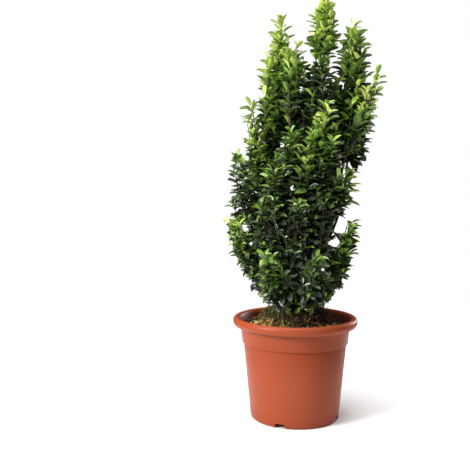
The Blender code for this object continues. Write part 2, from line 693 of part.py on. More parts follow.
def grow_mass(name, mass, limbs, finish):
    """One stem whose nodes bear twigs and leaves, with a leafy leader, grown as one closed mesh."""
    rng = random.Random(f"{SEED}-{name}")
    way = way_of(mass)
    front = way.orthogonal().normalized()
    length = (mass["tip"] - mass["foot"]).length
    stem_end = length - LEAF_SHORTEST * TIP_LEAF_SHARE
    shoulder = length * mass["shoulder"] - TWIGLESS_TOP
    points = []
    faces = []
    surfaces = []
    leaves = 0

    def jitter(amount):
        return rng.uniform(1 - amount, 1 + amount)

    def allowed(samples, surface):
        return fits(samples, name, limbs) and not any(other.overlap(surface) for other in surfaces)

    def ring_at(distance, turn):
        radius = blend(STEM_RADIUS, STEM_TIP_RADIUS, distance / stem_end)
        turned = front * math.cos(turn) + way.cross(front) * math.sin(turn)
        return add_ring(points, mass["foot"] + way * distance, way, turned, radius)

    def size_at(distance):
        grown = float(space_radius(mass, distance / length)) * LEAF_GROWTH
        return min(LEAF_LENGTH, max(LEAF_SHORTEST, grown))

    turn = rng.uniform(0, 2 * math.pi)
    low = ring_at(0.0, turn)
    faces.append(low)
    place = FIRST_NODE
    node = 0
    while place < stem_end - LAST_NODE_MARGIN:
        in_body = place < shoulder
        last_node = place + LEADER_SPACING * LAST_NODE_SHARE > stem_end
        turn += NODE_TURN * jitter(TURN_JITTER)
        below = ring_at(place - NODE_HALF, turn)
        above = ring_at(place + NODE_HALF, turn)
        join_rings(faces, low, below)
        for k in range(3):
            n = (k + 1) % 3
            size = size_at(place) * jitter(SIZE_JITTER)
            if in_body and (k + node) % 3 < TWIGS_AT_NODE:
                radius = float(space_radius(mass, place / length)) * jitter(REACH_JITTER)
                added = add_twig(points, faces, below, above, k, way, radius, size, allowed)
                if added:
                    surfaces.extend(added)
                    leaves += len(added) - 1
                    continue
            root = (points[below[k]] + points[above[n]]) / 2
            across = points[above[n]] - points[above[k]]
            outward = across.cross(way).normalized()
            spread = END_SPREAD if last_node else (WHORL_SPREAD if in_body else LEADER_SPREAD)
            leaf_way = outward * math.sin(spread) + way * math.cos(spread)
            corners, surface = leaf_that_fits(root, leaf_way, across, way, size, allowed)
            if corners:
                add_side_leaf(points, faces, below, above, k, corners)
                surfaces.append(surface)
                leaves += 1
            else:
                join_rings(faces, below, above, [k])
        low = above
        place += (NODE_SPACING if in_body else LEADER_SPACING) * jitter(SPACING_JITTER)
        node += 1
    last = ring_at(stem_end, turn)
    join_rings(faces, low, last)
    across = points[last[2]] - points[last[1]]
    stem_tip = mass["foot"] + way * stem_end
    facing = points[last[1]] - points[last[0]]
    corners, surface = leaf_that_fits(stem_tip, way, across, facing, LEAF_SHORTEST * TIP_LEAF_SHARE, allowed)
    if corners:
        add_end_leaf(points, faces, last, corners)
        leaves += 1
    else:
        faces.append(last)
    obj = mesh_object(f"foliage_{name}", points, faces, finish)
    mesh = bmesh.new()
    mesh.from_mesh(obj.data)
    bmesh.ops.triangulate(mesh, faces=mesh.faces[:])
    bmesh.ops.recalc_face_normals(mesh, faces=mesh.faces[:])
    mesh.to_mesh(obj.data)
    mesh.free()
    return leaves


def main():
    for obj in list(bpy.data.objects):
        bpy.data.objects.remove(obj)
    finishes = {name: material(name) for name in COLOURS}
    make_pot(finishes["terracotta"])
    make_soil(finishes["compost"])
    limbs = limb_paths()
    whole_limbs = {name: dict(limb) for name, limb in limbs.items()}
    make_trunk(limbs, finishes["bark"])
    make_boughs(limbs, finishes["bark"])
    total = 0
    for name, mass in MASSES.items():
        leaves = grow_mass(name, mass, whole_limbs, finishes["leaf"])
        total += leaves
        print(f"{name}: {leaves} leaves")
    print(f"{total} leaves in all")


main()
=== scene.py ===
import json
import math
import random

import bpy
import numpy as np
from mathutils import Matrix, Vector, noise

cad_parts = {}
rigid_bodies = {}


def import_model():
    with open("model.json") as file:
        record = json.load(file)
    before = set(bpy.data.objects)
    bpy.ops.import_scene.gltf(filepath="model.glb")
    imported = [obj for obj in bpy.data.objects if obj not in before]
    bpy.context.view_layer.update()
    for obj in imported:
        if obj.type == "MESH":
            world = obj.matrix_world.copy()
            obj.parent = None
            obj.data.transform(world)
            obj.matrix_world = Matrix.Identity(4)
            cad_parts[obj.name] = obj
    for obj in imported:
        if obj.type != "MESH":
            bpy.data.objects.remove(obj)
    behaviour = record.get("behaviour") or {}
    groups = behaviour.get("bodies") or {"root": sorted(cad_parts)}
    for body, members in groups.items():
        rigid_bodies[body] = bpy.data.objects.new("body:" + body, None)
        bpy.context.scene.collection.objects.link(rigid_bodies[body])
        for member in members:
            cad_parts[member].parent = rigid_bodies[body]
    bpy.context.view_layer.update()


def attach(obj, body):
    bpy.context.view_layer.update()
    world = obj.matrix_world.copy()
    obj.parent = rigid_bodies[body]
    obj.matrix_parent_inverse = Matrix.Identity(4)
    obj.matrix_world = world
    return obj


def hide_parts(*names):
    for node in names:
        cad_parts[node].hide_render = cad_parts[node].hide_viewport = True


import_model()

smallGap = 0.0003  # between the pot and the compost, the compost and the trunk, a bough and its mass's stem


def blend(low, high, share):
    return low + (high - low) * share


def unit(rows):
    rows = np.asarray(rows, float)
    return rows / np.maximum(np.linalg.norm(rows, axis=-1, keepdims=True), 1e-12)


def tinted(colour, *shares):
    # a colour scaled by one share, or by one for each of its channels
    return tuple(channel * share for channel, share in zip(colour, shares * 3))


# meshes and pieces

def arrayMesh(name, points, quads=(), tris=()):
    quads = np.asarray(quads, np.int32).reshape(-1, 4)
    tris = np.asarray(tris, np.int32).reshape(-1, 3)
    corners = np.concatenate([quads.ravel(), tris.ravel()])
    starts = np.concatenate([np.arange(len(quads)) * 4, len(quads) * 4 + np.arange(len(tris)) * 3])
    mesh = bpy.data.meshes.new(name)
    mesh.vertices.add(len(points))
    mesh.vertices.foreach_set("co", np.asarray(points, np.float32).ravel())
    mesh.loops.add(len(corners))
    mesh.loops.foreach_set("vertex_index", corners.astype(np.int32))
    mesh.polygons.add(len(starts))
    mesh.polygons.foreach_set("loop_start", starts.astype(np.int32))
    mesh.update(calc_edges=True)
    mesh.validate()
    return mesh


def bandQuads(low, high, count):
    # the faces between two rings of points, given the first point of each
    return [(low + k, low + (k + 1) % count, high + (k + 1) % count, high + k) for k in range(count)]


def addObject(name, *arrays):
    made = bpy.data.objects.new(name, arrayMesh(name, *arrays))
    bpy.context.scene.collection.objects.link(made)
    return made


def dress(piece, finish, smoothUnder):
    piece.data.materials.clear()
    piece.data.materials.append(finish)
    piece.data.shade_smooth()
    piece.data.set_sharp_from_angle(angle=math.radians(smoothUnder))


def settle(piece, slotName, *nodes):
    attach(piece, "root")
    if nodes:
        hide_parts(*nodes)


def applyModifiers(piece):
    finished = piece.evaluated_get(bpy.context.evaluated_depsgraph_get())
    piece.data = bpy.data.meshes.new_from_object(finished)
    piece.modifiers.clear()
    piece.data.name = piece.name


# finishes

def newFinish(name, colour, roughness, specular=0.5):
    finish = bpy.data.materials.new(name)
    finish.use_nodes = True
    tree = finish.node_tree
    shader = tree.nodes["Principled BSDF"]
    shader.inputs["Base Color"].default_value = (*colour, 1.0)
    shader.inputs["Roughness"].default_value = roughness
    shader.inputs["Specular IOR Level"].default_value = specular
    tree.nodes.new("ShaderNodeTexCoord").name = "place"
    return finish


def noiseOn(finish, scale, detail=4.0, roughness=0.55, stretch=None):
    tree = finish.node_tree
    place = tree.nodes["place"].outputs["Object"]
    if stretch:
        mapping = tree.nodes.new("ShaderNodeMapping")
        mapping.inputs["Scale"].default_value = stretch
        tree.links.new(place, mapping.inputs["Vector"])
        place = mapping.outputs["Vector"]
    made = tree.nodes.new("ShaderNodeTexNoise")
    made.inputs["Scale"].default_value = scale
    made.inputs["Detail"].default_value = detail
    made.inputs["Roughness"].default_value = roughness
    tree.links.new(place, made.inputs["Vector"])
    return made.outputs["Fac"]


def feed(finish, socket, name):
    finish.node_tree.links.new(socket, finish.node_tree.nodes["Principled BSDF"].inputs[name])


def colourBy(finish, value, stops):
    tree = finish.node_tree
    ramp = tree.nodes.new("ShaderNodeValToRGB")
    spots = ramp.color_ramp.elements
    while len(spots) < len(stops):
        spots.new(0.5)
    for spot, (place, colour) in zip(spots, stops):
        spot.position = place
        spot.color = (*colour, 1.0)
    tree.links.new(value, ramp.inputs["Fac"])
    feed(finish, ramp.outputs["Color"], "Base Color")


def roughnessBy(finish, value, low, high):
    spread = finish.node_tree.nodes.new("ShaderNodeMapRange")
    limits = {"From Min": 0.3, "From Max": 0.7, "To Min": low, "To Max": high}
    for name, limit in limits.items():
        spread.inputs[name].default_value = limit
    finish.node_tree.links.new(value, spread.inputs["Value"])
    feed(finish, spread.outputs["Result"], "Roughness")


def bumpBy(finish, value, strength, distance):
    bump = finish.node_tree.nodes.new("ShaderNodeBump")
    bump.inputs["Strength"].default_value = strength
    bump.inputs["Distance"].default_value = distance
    finish.node_tree.links.new(value, bump.inputs["Height"])
    feed(finish, bump.outputs["Normal"], "Normal")


# the pot

potUser = {
    "steps": 160,
    "colour": (0.290, 0.054, 0.0185),
    "roughness": 0.36,
    "scuffed": (0.31, 0.47),      # roughness where it is smooth, and where it is scuffed
    "specular": 0.16,
    "height": 0.195,
    "footRadius": 0.0840,
    "bodyTopRadius": 0.0992,
    "bodyTop": 0.1455,
    "collarFootRadius": 0.1023,
    "collarFoot": 0.149,
    "collarRadius": 0.1048,
    "collarTop": 0.170,
    "rimRadius": 0.120,
    "rimInside": 0.174,           # where the wall's inside meets the rim
    "wall": 0.0024,
    "floorTop": 0.0105,
    "floorUnderside": 0.0080,
    "floorBevel": 0.0030,
    "notches": 4,
    "firstNotch": math.radians(-108.4),
    "notchWidth": 0.021,
    "notchHeight": 0.0085,
    "notchDepth": (-0.016, 0.006),  # inwards and outwards of the foot
    "notchSlant": 0.0015,
    "smoothUnder": 38,
}


def latheArrays(profile, steps):
    # a profile of radii and heights that starts and ends on the axis, turned round it
    turns = np.arange(steps) * 2 * math.pi / steps
    points = []
    rings = []
    for radius, height in np.asarray(profile, float):
        if radius < 1e-9:
            rings.append(np.full(steps, len(points)))
            points.append((0.0, 0.0, height))
        else:
            rings.append(np.arange(len(points), len(points) + steps))
            points += [(radius * math.cos(a), radius * math.sin(a), height) for a in turns]
    quads = []
    tris = []
    for low, high in zip(rings, rings[1:]):
        for k in range(steps):
            n = (k + 1) % steps
            if low[0] == low[1]:
                tris.append((low[k], high[n], high[k]))
            elif high[0] == high[1]:
                tris.append((low[k], low[n], high[k]))
            else:
                quads.append((low[k], low[n], high[n], high[k]))
    return np.array(points), quads, tris


def roundedRun(corners, perSpan):
    # a smooth run through the corners, for the rolled rim
    corners = [np.array(c, float) for c in corners]
    padded = [2 * corners[0] - corners[1]] + corners + [2 * corners[-1] - corners[-2]]
    run = []
    for a, b, c, d in zip(padded, padded[1:], padded[2:], padded[3:]):
        for t in (i / perSpan for i in range(perSpan)):
            place = 2 * b + (c - a) * t + (2 * a - 5 * b + 4 * c - d) * t**2 + (3 * b - a - 3 * c + d) * t**3
            run.append(tuple(0.5 * place))
    run.append(tuple(corners[-1]))
    return run


def terracottaFinish():
    base = potUser["colour"]
    finish = newFinish("terracottaPlastic", base, potUser["roughness"], potUser["specular"])
    tree = finish.node_tree
    mixed = tree.nodes.new("ShaderNodeMix")
    mixed.data_type = "FLOAT"
    mixed.inputs["Factor"].default_value = 0.25
    tree.links.new(noiseOn(finish, 9.0, 3.0), mixed.inputs["A"])
    tree.links.new(noiseOn(finish, 420.0, 2.0), mixed.inputs["B"])
    stops = [(0.30, tinted(base, 0.90)), (0.52, base), (0.75, tinted(base, 1.06, 1.14, 1.22))]
    colourBy(finish, mixed.outputs["Result"], stops)
    roughnessBy(finish, noiseOn(finish, 26.0, 5.0, 0.6, (1.0, 1.0, 5.0)), *potUser["scuffed"])
    bumpBy(finish, noiseOn(finish, 900.0, 2.0), 0.10, 0.0004)
    return finish


def near(radius, height, *steps):
    # points that lie a few small steps outwards and up from a place on the profile
    return [(radius + out, height + up) for out, up in steps]


def potProfile():
    u = potUser
    foot, rim, wall = u["footRadius"], u["rimRadius"], u["wall"]
    under = u["floorUnderside"]
    profile = [(0.0, 0.0), (0.022, 0.0), (0.024, under), (foot - 0.0052, under), (foot - 0.0042, 0.0)]
    edge = near(foot, 0.0, (-0.0030, 0.0), (-0.0008, 0.0005), (0.0008, 0.0020), (0.0016, 0.0045))
    ledge = near(u["bodyTopRadius"], u["bodyTop"], (0.0, -0.0012), (-0.0002, 0.0002))
    ledge += near(u["collarFootRadius"], u["bodyTop"], (-0.0012, 0.0008), (-0.0001, 0.0014))
    ledge += near(u["collarFootRadius"], u["collarFoot"], (0.0, 0.0008))
    roll = near(u["collarRadius"], u["collarTop"], (0.0004, 0.0050), (0.0011, 0.0068))
    roll += near(rim, u["collarTop"], (-0.0090, 0.0078), (-0.0030, 0.0094))
    roll += near(rim, u["height"], (-0.0003, -0.0100), (-0.0010, -0.0040), (-0.0050, -0.0003))
    roll += near(rim, u["height"], (-0.0098, -0.0006), (-0.0130, -0.0040))
    roll += near(rim, u["collarTop"], (-0.0158, 0.0110)) + [(u["collarRadius"] - wall, u["rimInside"])]
    return profile + roundedRun(edge, 2) + roundedRun(ledge, 2) + roundedRun(roll, 4) + [
        (u["collarFootRadius"] - wall, u["collarFoot"]),
        (u["bodyTopRadius"] - wall, u["bodyTop"]),
        (foot - wall, u["floorTop"] + u["floorBevel"]),
        (foot - wall - u["floorBevel"], u["floorTop"]),
        (0.0, u["floorTop"]),
    ]


def notchCutter(k):
    u = potUser
    angle = u["firstNotch"] + 2 * math.pi * k / u["notches"]
    outward = np.array((math.cos(angle), math.sin(angle), 0))
    across = np.array((-outward[1], outward[0], 0))
    inner, outer = u["notchDepth"]
    corners = []
    for z, slant in ((-0.002, 0.0), (u["notchHeight"], u["notchSlant"])):
        for out, half in ((inner, -1), (outer, -1), (outer, 1), (inner, 1)):
            beside = across * half * (u["notchWidth"] / 2 - slant)
            corners.append(outward * (u["footRadius"] + out) + beside + (0, 0, z))
    sides = [(3, 2, 1, 0), (4, 5, 6, 7), (0, 1, 5, 4), (1, 2, 6, 5), (2, 3, 7, 6), (3, 0, 4, 7)]
    return bpy.data.objects.new(f"notchCutter{k}", arrayMesh("notchCutter", corners, sides))


def makePot():
    pot = addObject("pot_body", *latheArrays(potProfile(), potUser["steps"]))
    cutters = bpy.data.collections.new("notchCutters")
    bpy.context.scene.collection.children.link(cutters)
    for k in range(potUser["notches"]):
        cutters.objects.link(notchCutter(k))
    cut = pot.modifiers.new("notches", "BOOLEAN")
    cut.operation = "DIFFERENCE"
    cut.solver = "EXACT"
    cut.operand_type = "COLLECTION"
    cut.collection = cutters
    applyModifiers(pot)
    for cutter in list(cutters.objects):
        bpy.data.objects.remove(cutter)
    bpy.data.collections.remove(cutters)
    dress(pot, terracottaFinish(), potUser["smoothUnder"])
    settle(pot, "pot", "pot")
    print("pot made:", len(pot.data.polygons), "faces")


# compost, with the mossy root ball that stands proud of it

bedBevel = 0.0030
bedRadius = potUser["collarRadius"] - potUser["wall"] - bedBevel  # where the top of the compost ends

soilUser = {
    "steps": 168,
    "footBevel": 0.0036,
    "footRise": 0.0034,
    "edge": 0.180,                # heights of the top, from the pot to the middle of the root ball
    "atBall": 0.187,
    "shoulder": 0.207,
    "top": 0.214,
    "ballRadius": 0.067,
    "plateau": 0.026,
    "rings": ((bedRadius, 0.071, 14), (0.0695, 0.062, 12), (0.060, 0.003, 24)),  # from, to and how many
    "ballLumps": 0.0026,          # heights of lumps on the ball and round it, and of crumbs on both
    "bedLumps": 0.0016,
    "crumbs": 0.0016,
    "lumpScale": 60.0,
    "crumbScale": 260.0,
    "calmEdge": 0.004,            # over which the lumps fade out towards the pot
    "colour": (0.030, 0.019, 0.012),
    "crumbColours": (
        (0.32, (0.006, 0.004, 0.003)), (0.50, (0.020, 0.012, 0.007)),
        (0.62, (0.042, 0.025, 0.014)), (0.74, (0.090, 0.060, 0.033)),
    ),
    "smoothUnder": 60,
    "seed": 7,
}
soilLine = [
    (0.0, soilUser["top"]),
    (soilUser["plateau"], soilUser["top"]),
    (soilUser["ballRadius"] - 0.012, soilUser["shoulder"]),
    (soilUser["ballRadius"] - 0.003, blend(soilUser["atBall"], soilUser["shoulder"], 0.75)),
    (soilUser["ballRadius"] + 0.002, soilUser["atBall"]),
    (bedRadius, soilUser["edge"]),
]


def innerRadius(z):
    u = potUser
    heights = (u["floorTop"] + u["floorBevel"], u["bodyTop"], u["collarFoot"], u["rimInside"])
    radii = (u["footRadius"], u["bodyTopRadius"], u["collarFootRadius"], u["collarRadius"])
    return float(np.interp(z, heights, radii)) - u["wall"]


def soilHeight(radius):
    return float(np.interp(radius, *zip(*soilLine)))


def unevenness(place, scale, seed):
    return noise.fractal(Vector(place) * scale + Vector((seed, seed * 0.7, seed * 1.3)), 0.6, 2.1, 4)


def soilSurface(radius, angle):
    # a place on the top of the compost: lumpy on the root ball, crumbly round it
    u = soilUser
    x, y = radius * math.cos(angle), radius * math.sin(angle)
    height = soilHeight(radius)
    lumps = u["ballLumps"] if radius < u["ballRadius"] + 0.003 else u["bedLumps"]
    lump = unevenness((x, y, 0.0), u["lumpScale"], u["seed"]) * lumps
    crumb = unevenness((x, y, height), u["crumbScale"], u["seed"] + 3) * u["crumbs"]
    fade = min(1.0, (bedRadius - radius) / u["calmEdge"] + 0.1)
    return (x, y, height + (lump + crumb) * fade)


def compostFinish():
    finish = newFinish("darkCompost", soilUser["colour"], 0.93, 0.25)
    crumbs = noiseOn(finish, 240.0, 6.0, 0.7)
    colourBy(finish, crumbs, soilUser["crumbColours"])
    bumpBy(finish, crumbs, 0.9, 0.0014)
    return finish


def makeCompost():
    u = soilUser
    inner = potUser["floorTop"] + smallGap
    sides = [inner + u["footRise"], potUser["bodyTop"], potUser["collarFoot"], potUser["rimInside"]]
    profile = [(0.0, inner), (innerRadius(sides[0]) - smallGap - u["footBevel"], inner)]
    profile += [(innerRadius(z) - smallGap, z) for z in sides]
    profile += [(potUser["collarRadius"] - potUser["wall"] - smallGap, u["edge"] - bedBevel)]
    for run in u["rings"]:
        profile += [(r, soilHeight(r)) for r in np.linspace(*run)]
    profile += [(0.0, soilHeight(0.0))]
    points, quads, tris = latheArrays(profile, u["steps"])
    for i, (x, y, z) in enumerate(points):
        if z >= u["edge"] - 1e-4:
            points[i] = soilSurface(math.hypot(x, y), math.atan2(y, x))
    bed = addObject("compost_bed", points, quads, tris)
    dress(bed, compostFinish(), u["smoothUnder"])
    settle(bed, "compost", "compost")
    print("compost made:", len(bed.data.polygons), "faces")


# bits that lie on the compost, each kind scattered by one tree of nodes over a patch of its own

bitsEnd = 0.0975  # no bit lies further out

scatterUser = {
    "moss_tufts": {
        "turns": (150, 292), "radii": (0.020, 0.070), "density": 150000, "size": (0.0030, 0.0072),
        "tilt": 0.85, "seed": 3, "shape": "strand", "colour": (0.115, 0.112, 0.024), "roughness": 0.85,
    },
    "moss_tufts_bright": {
        "turns": (165, 285), "radii": (0.026, 0.070), "density": 42000, "size": (0.0030, 0.0075),
        "tilt": 0.9, "seed": 5, "shape": "strand", "colour": (0.270, 0.240, 0.050), "roughness": 0.85,
    },
    "root_fibres": {
        "turns": (262, 420), "radii": (0.020, 0.0705), "density": 95000, "size": (0.0038, 0.0095),
        "tilt": 1.25, "seed": 8, "shape": "strand", "colour": (0.150, 0.066, 0.034), "roughness": 0.8,
    },
    "pale_fibres": {
        "turns": (175, 420), "radii": (0.030, 0.0705), "density": 4500, "size": (0.0050, 0.0125),
        "tilt": 1.35, "seed": 10, "shape": "strand", "colour": (0.360, 0.210, 0.090), "roughness": 0.8,
    },
    "back_moss": {
        "turns": (60, 165), "radii": (0.020, 0.069), "density": 60000, "size": (0.0026, 0.0060),
        "tilt": 0.8, "seed": 9, "shape": "strand", "colour": (0.085, 0.084, 0.020), "roughness": 0.85,
    },
    "straw_left": {
        "turns": (196, 262), "radii": (0.066, 0.090), "density": 55000, "size": (0.0055, 0.0135),
        "tilt": 1.2, "seed": 12, "shape": "flake", "colour": (0.560, 0.340, 0.110), "roughness": 0.7,
    },
    "straw_right": {
        "turns": (288, 342), "radii": (0.066, 0.087), "density": 36000, "size": (0.0045, 0.0115),
        "tilt": 1.2, "seed": 14, "shape": "flake", "colour": (0.480, 0.270, 0.080), "roughness": 0.7,
    },
    "straw_around": {
        "turns": (0, 360), "radii": (0.062, 0.096), "density": 7000, "size": (0.0030, 0.0075),
        "tilt": 1.2, "seed": 17, "shape": "flake", "colour": (0.150, 0.085, 0.034), "roughness": 0.8,
    },
    "pale_flecks": {
        "turns": (0, 360), "radii": (0.060, 0.095), "density": 1500, "size": (0.0016, 0.0032),
        "tilt": 1.0, "seed": 21, "shape": "chip", "colour": (0.400, 0.330, 0.240), "roughness": 0.7,
    },
    # pale pink chips on the root ball: a painted highlight standing in for the lit top of the pot's back rim
    # seen between the leaves
    "pink_flake": {
        "turns": (12, 34), "radii": (0.040, 0.047), "density": 26000, "size": (0.0070, 0.0095),
        "tilt": 0.5, "seed": 31, "shape": "chip", "colour": (0.520, 0.250, 0.190), "roughness": 0.6,
    },
    "bark_chips": {
        "turns": (0, 360), "radii": (0.065, 0.097), "density": 9000, "size": (0.0030, 0.0065),
        "tilt": 1.0, "seed": 23, "shape": "chip", "colour": (0.035, 0.021, 0.012), "roughness": 0.85,
    },
}


def scatterShape(kind):
    points = []
    if kind == "strand":  # a thin bent three-sided blade of moss or root
        for x, z, half in ((0.0, 0.0, 0.06), (0.10, 0.45, 0.05), (0.34, 0.80, 0.035)):
            points += [(x - half, -half, z), (x + half, -half, z), (x, half, z)]
        points.append((0.62, 0.0, 1.0))
        quads = bandQuads(0, 3, 3) + bandQuads(3, 6, 3)
        tris = [(6, 7, 9), (7, 8, 9), (8, 6, 9), (2, 1, 0)]
    elif kind == "flake":  # a narrow curled sliver, thicker in the middle
        for x, half, z in ((-0.5, 0.05, 0.10), (-0.18, 0.13, 0.0), (0.20, 0.11, 0.02), (0.5, 0.04, 0.14)):
            points += [(x, -half, z), (x, half, z), (x, half * 0.8, z + 0.06), (x, -half * 0.8, z + 0.06)]
        quads = []
        for a in (0, 4, 8):
            quads += [(a + k, a + 4 + k, a + 4 + (k + 1) % 4, a + (k + 1) % 4) for k in range(4)]
        quads += [(0, 1, 2, 3), (15, 14, 13, 12)]
        tris = []
    else:  # a small chip with five uneven corners
        outline = ((-0.5, -0.18), (0.05, -0.38), (0.5, -0.05), (0.22, 0.36), (-0.32, 0.28))
        points = [(x, y, 0.0) for x, y in outline] + [(x * 0.8, y * 0.8, 0.22) for x, y in outline]
        quads = bandQuads(0, 5, 5) + [(3, 2, 1, 0), (5, 6, 7, 8)]
        tris = [(4, 3, 0), (8, 9, 5)]
    return addObject(f"shape_{kind}", points, quads, tris)


def limitsOf(node, kind):
    return [s for s in node.inputs if s.name in ("Min", "Max") and s.type == kind]


def valueOf(node, kind):
    return [s for s in node.outputs if s.type == kind][0]


def scatterTree():
    tree = bpy.data.node_groups.new("scatterOnCompost", "GeometryNodeTree")
    sockets = {
        "Patch": "Geometry", "Shape": "Object", "Density": "Float", "Smallest": "Float",
        "Largest": "Float", "Tilt": "Float", "Seed": "Int", "Finish": "Material",
    }
    for name, kind in sockets.items():
        tree.interface.new_socket(name, in_out="INPUT", socket_type="NodeSocket" + kind)
    tree.interface.new_socket("Bits", in_out="OUTPUT", socket_type="NodeSocketGeometry")
    new, link = tree.nodes.new, tree.links.new
    given, result = new("NodeGroupInput"), new("NodeGroupOutput")
    spread = new("GeometryNodeDistributePointsOnFaces")
    shape = new("GeometryNodeObjectInfo")
    place = new("GeometryNodeInstanceOnPoints")
    size = new("FunctionNodeRandomValue")
    turn = new("FunctionNodeRandomValue")
    turn.data_type = "FLOAT_VECTOR"
    against = new("ShaderNodeMath")  # the tilt with its sign turned
    against.operation = "MULTIPLY"
    against.inputs[1].default_value = -1.0
    most = new("ShaderNodeCombineXYZ")
    most.inputs["Z"].default_value = math.pi
    least = new("ShaderNodeCombineXYZ")
    least.inputs["Z"].default_value = -math.pi
    asTurn = new("FunctionNodeEulerToRotation")
    rotate = new("FunctionNodeRotateRotation")
    rotate.rotation_space = "LOCAL"
    plain = new("GeometryNodeRealizeInstances")
    paint = new("GeometryNodeSetMaterial")
    fed = {
        "Patch": [spread.inputs["Mesh"]],
        "Density": [spread.inputs["Density"]],
        "Seed": [spread.inputs["Seed"], size.inputs["Seed"], turn.inputs["Seed"]],
        "Shape": [shape.inputs["Object"]],
        "Tilt": [most.inputs["X"], most.inputs["Y"], against.inputs[0]],
        "Smallest": [limitsOf(size, "VALUE")[0]],
        "Largest": [limitsOf(size, "VALUE")[1]],
        "Finish": [paint.inputs["Material"]],
    }
    for name, inputs in fed.items():
        for socket in inputs:
            link(given.outputs[name], socket)
    link(against.outputs[0], least.inputs["X"])
    link(against.outputs[0], least.inputs["Y"])
    link(least.outputs[0], limitsOf(turn, "VECTOR")[0])
    link(most.outputs[0], limitsOf(turn, "VECTOR")[1])
    link(valueOf(turn, "VECTOR"), asTurn.inputs[0])
    link(spread.outputs["Rotation"], rotate.inputs[0])
    link(asTurn.outputs[0], rotate.inputs[1])
    link(spread.outputs["Points"], place.inputs["Points"])
    link(shape.outputs["Geometry"], place.inputs["Instance"])
    link(rotate.outputs[0], place.inputs["Rotation"])
    link(valueOf(size, "VALUE"), place.inputs["Scale"])
    link(place.outputs["Instances"], plain.inputs["Geometry"])
    link(plain.outputs["Geometry"], paint.inputs["Geometry"])
    link(paint.outputs["Geometry"], result.inputs["Bits"])
    return tree


def bitsFinish(name, colour, roughness):
    finish = newFinish(name, colour, roughness, 0.3)
    stops = [(0.38, tinted(colour, 0.25)), (0.50, tinted(colour, 0.8)), (0.64, tinted(colour, 1.7))]
    colourBy(finish, noiseOn(finish, 130.0, 4.0, 0.6), stops)
    bumpBy(finish, noiseOn(finish, 1500.0, 2.0), 0.4, 0.0003)
    return finish


def scatterPatch(name, turns, radii):
    # the part of the compost's top that one kind of bit lies on
    across = 14
    around = max(8, int((turns[1] - turns[0]) / 3))
    points = []
    for i in range(across + 1):
        for j in range(around + 1):
            angle = math.radians(blend(turns[0], turns[1], j / around))
            edge = Vector((math.cos(angle) * 3, math.sin(angle) * 3, radii[i > across / 2] * 50))
            radius = blend(radii[0], radii[1], i / across) * (1.0 + 0.05 * noise.noise(edge))
            points.append(soilSurface(min(radius, bitsEnd), angle))
    quads = []
    for i in range(across):
        for j in range(around):
            a = i * (around + 1) + j
            quads.append((a, a + around + 1, a + around + 2, a + 1))
    return addObject(name, points, quads)


def makeBits():
    tree = scatterTree()
    sockets = {item.name: item.identifier for item in tree.interface.items_tree if item.in_out == "INPUT"}
    shapes = {kind: scatterShape(kind) for kind in ("strand", "flake", "chip")}
    for name, u in scatterUser.items():
        patch = scatterPatch(name, u["turns"], u["radii"])
        grow = patch.modifiers.new("scatter", "NODES")
        grow.node_group = tree
        given = {
            "Shape": shapes[u["shape"]], "Density": float(u["density"]), "Smallest": u["size"][0],
            "Largest": u["size"][1], "Tilt": u["tilt"], "Seed": u["seed"],
            "Finish": bitsFinish(name + "Finish", u["colour"], u["roughness"]),
        }
        for socket, value in given.items():
            grow[sockets[socket]] = value
        applyModifiers(patch)
        settle(patch, "compost")
        print(name, "made:", len(patch.data.polygons), "faces")
    for shape in shapes.values():
        bpy.data.objects.remove(shape)


# the limbs: trunk, main boughs and the spaces that their foliage keeps to

plantUser = {
    "trunkFoot": (0.004, 0.0, soilUser["top"] + smallGap),
    "trunkTop": (0.007, 0.0, 0.240),
    "flare": 0.0135,
    "flareShape": (               # heights up the trunk, and its radius there as a share of the flare's
        (0, 0.05, 0.10, 0.32, 0.65, 1.0), (1.0, 0.93, 0.80, 0.64, 0.58, 0.42),
    ),
    "boughRadius": 0.0034,
    "sideBoughRadius": 0.0027,
    "boughTipRadius": 0.0020,
    "boughEnd": 0.004,
    "boughSteps": 26,
    "leaderRadius": 0.013,        # of the space round the tip of each stem
    "spaceRise": 0.35,            # share of a space's height over which it widens from its base
    "spaceTaper": 2.6,            # how late it narrows again towards its shoulder
    "trunkRings": 26,
    "trunkSides": 22,
    "trunkRelief": 0.16,          # how deep the bark's ridges are, as a share of the radius
    "boughSides": 9,
    "boughRelief": 0.10,
    "trunkBark": ((0.066, 0.036, 0.020), (0.150, 0.100, 0.062)),
    "smoothUnder": 70,
    "seed": 41,
}
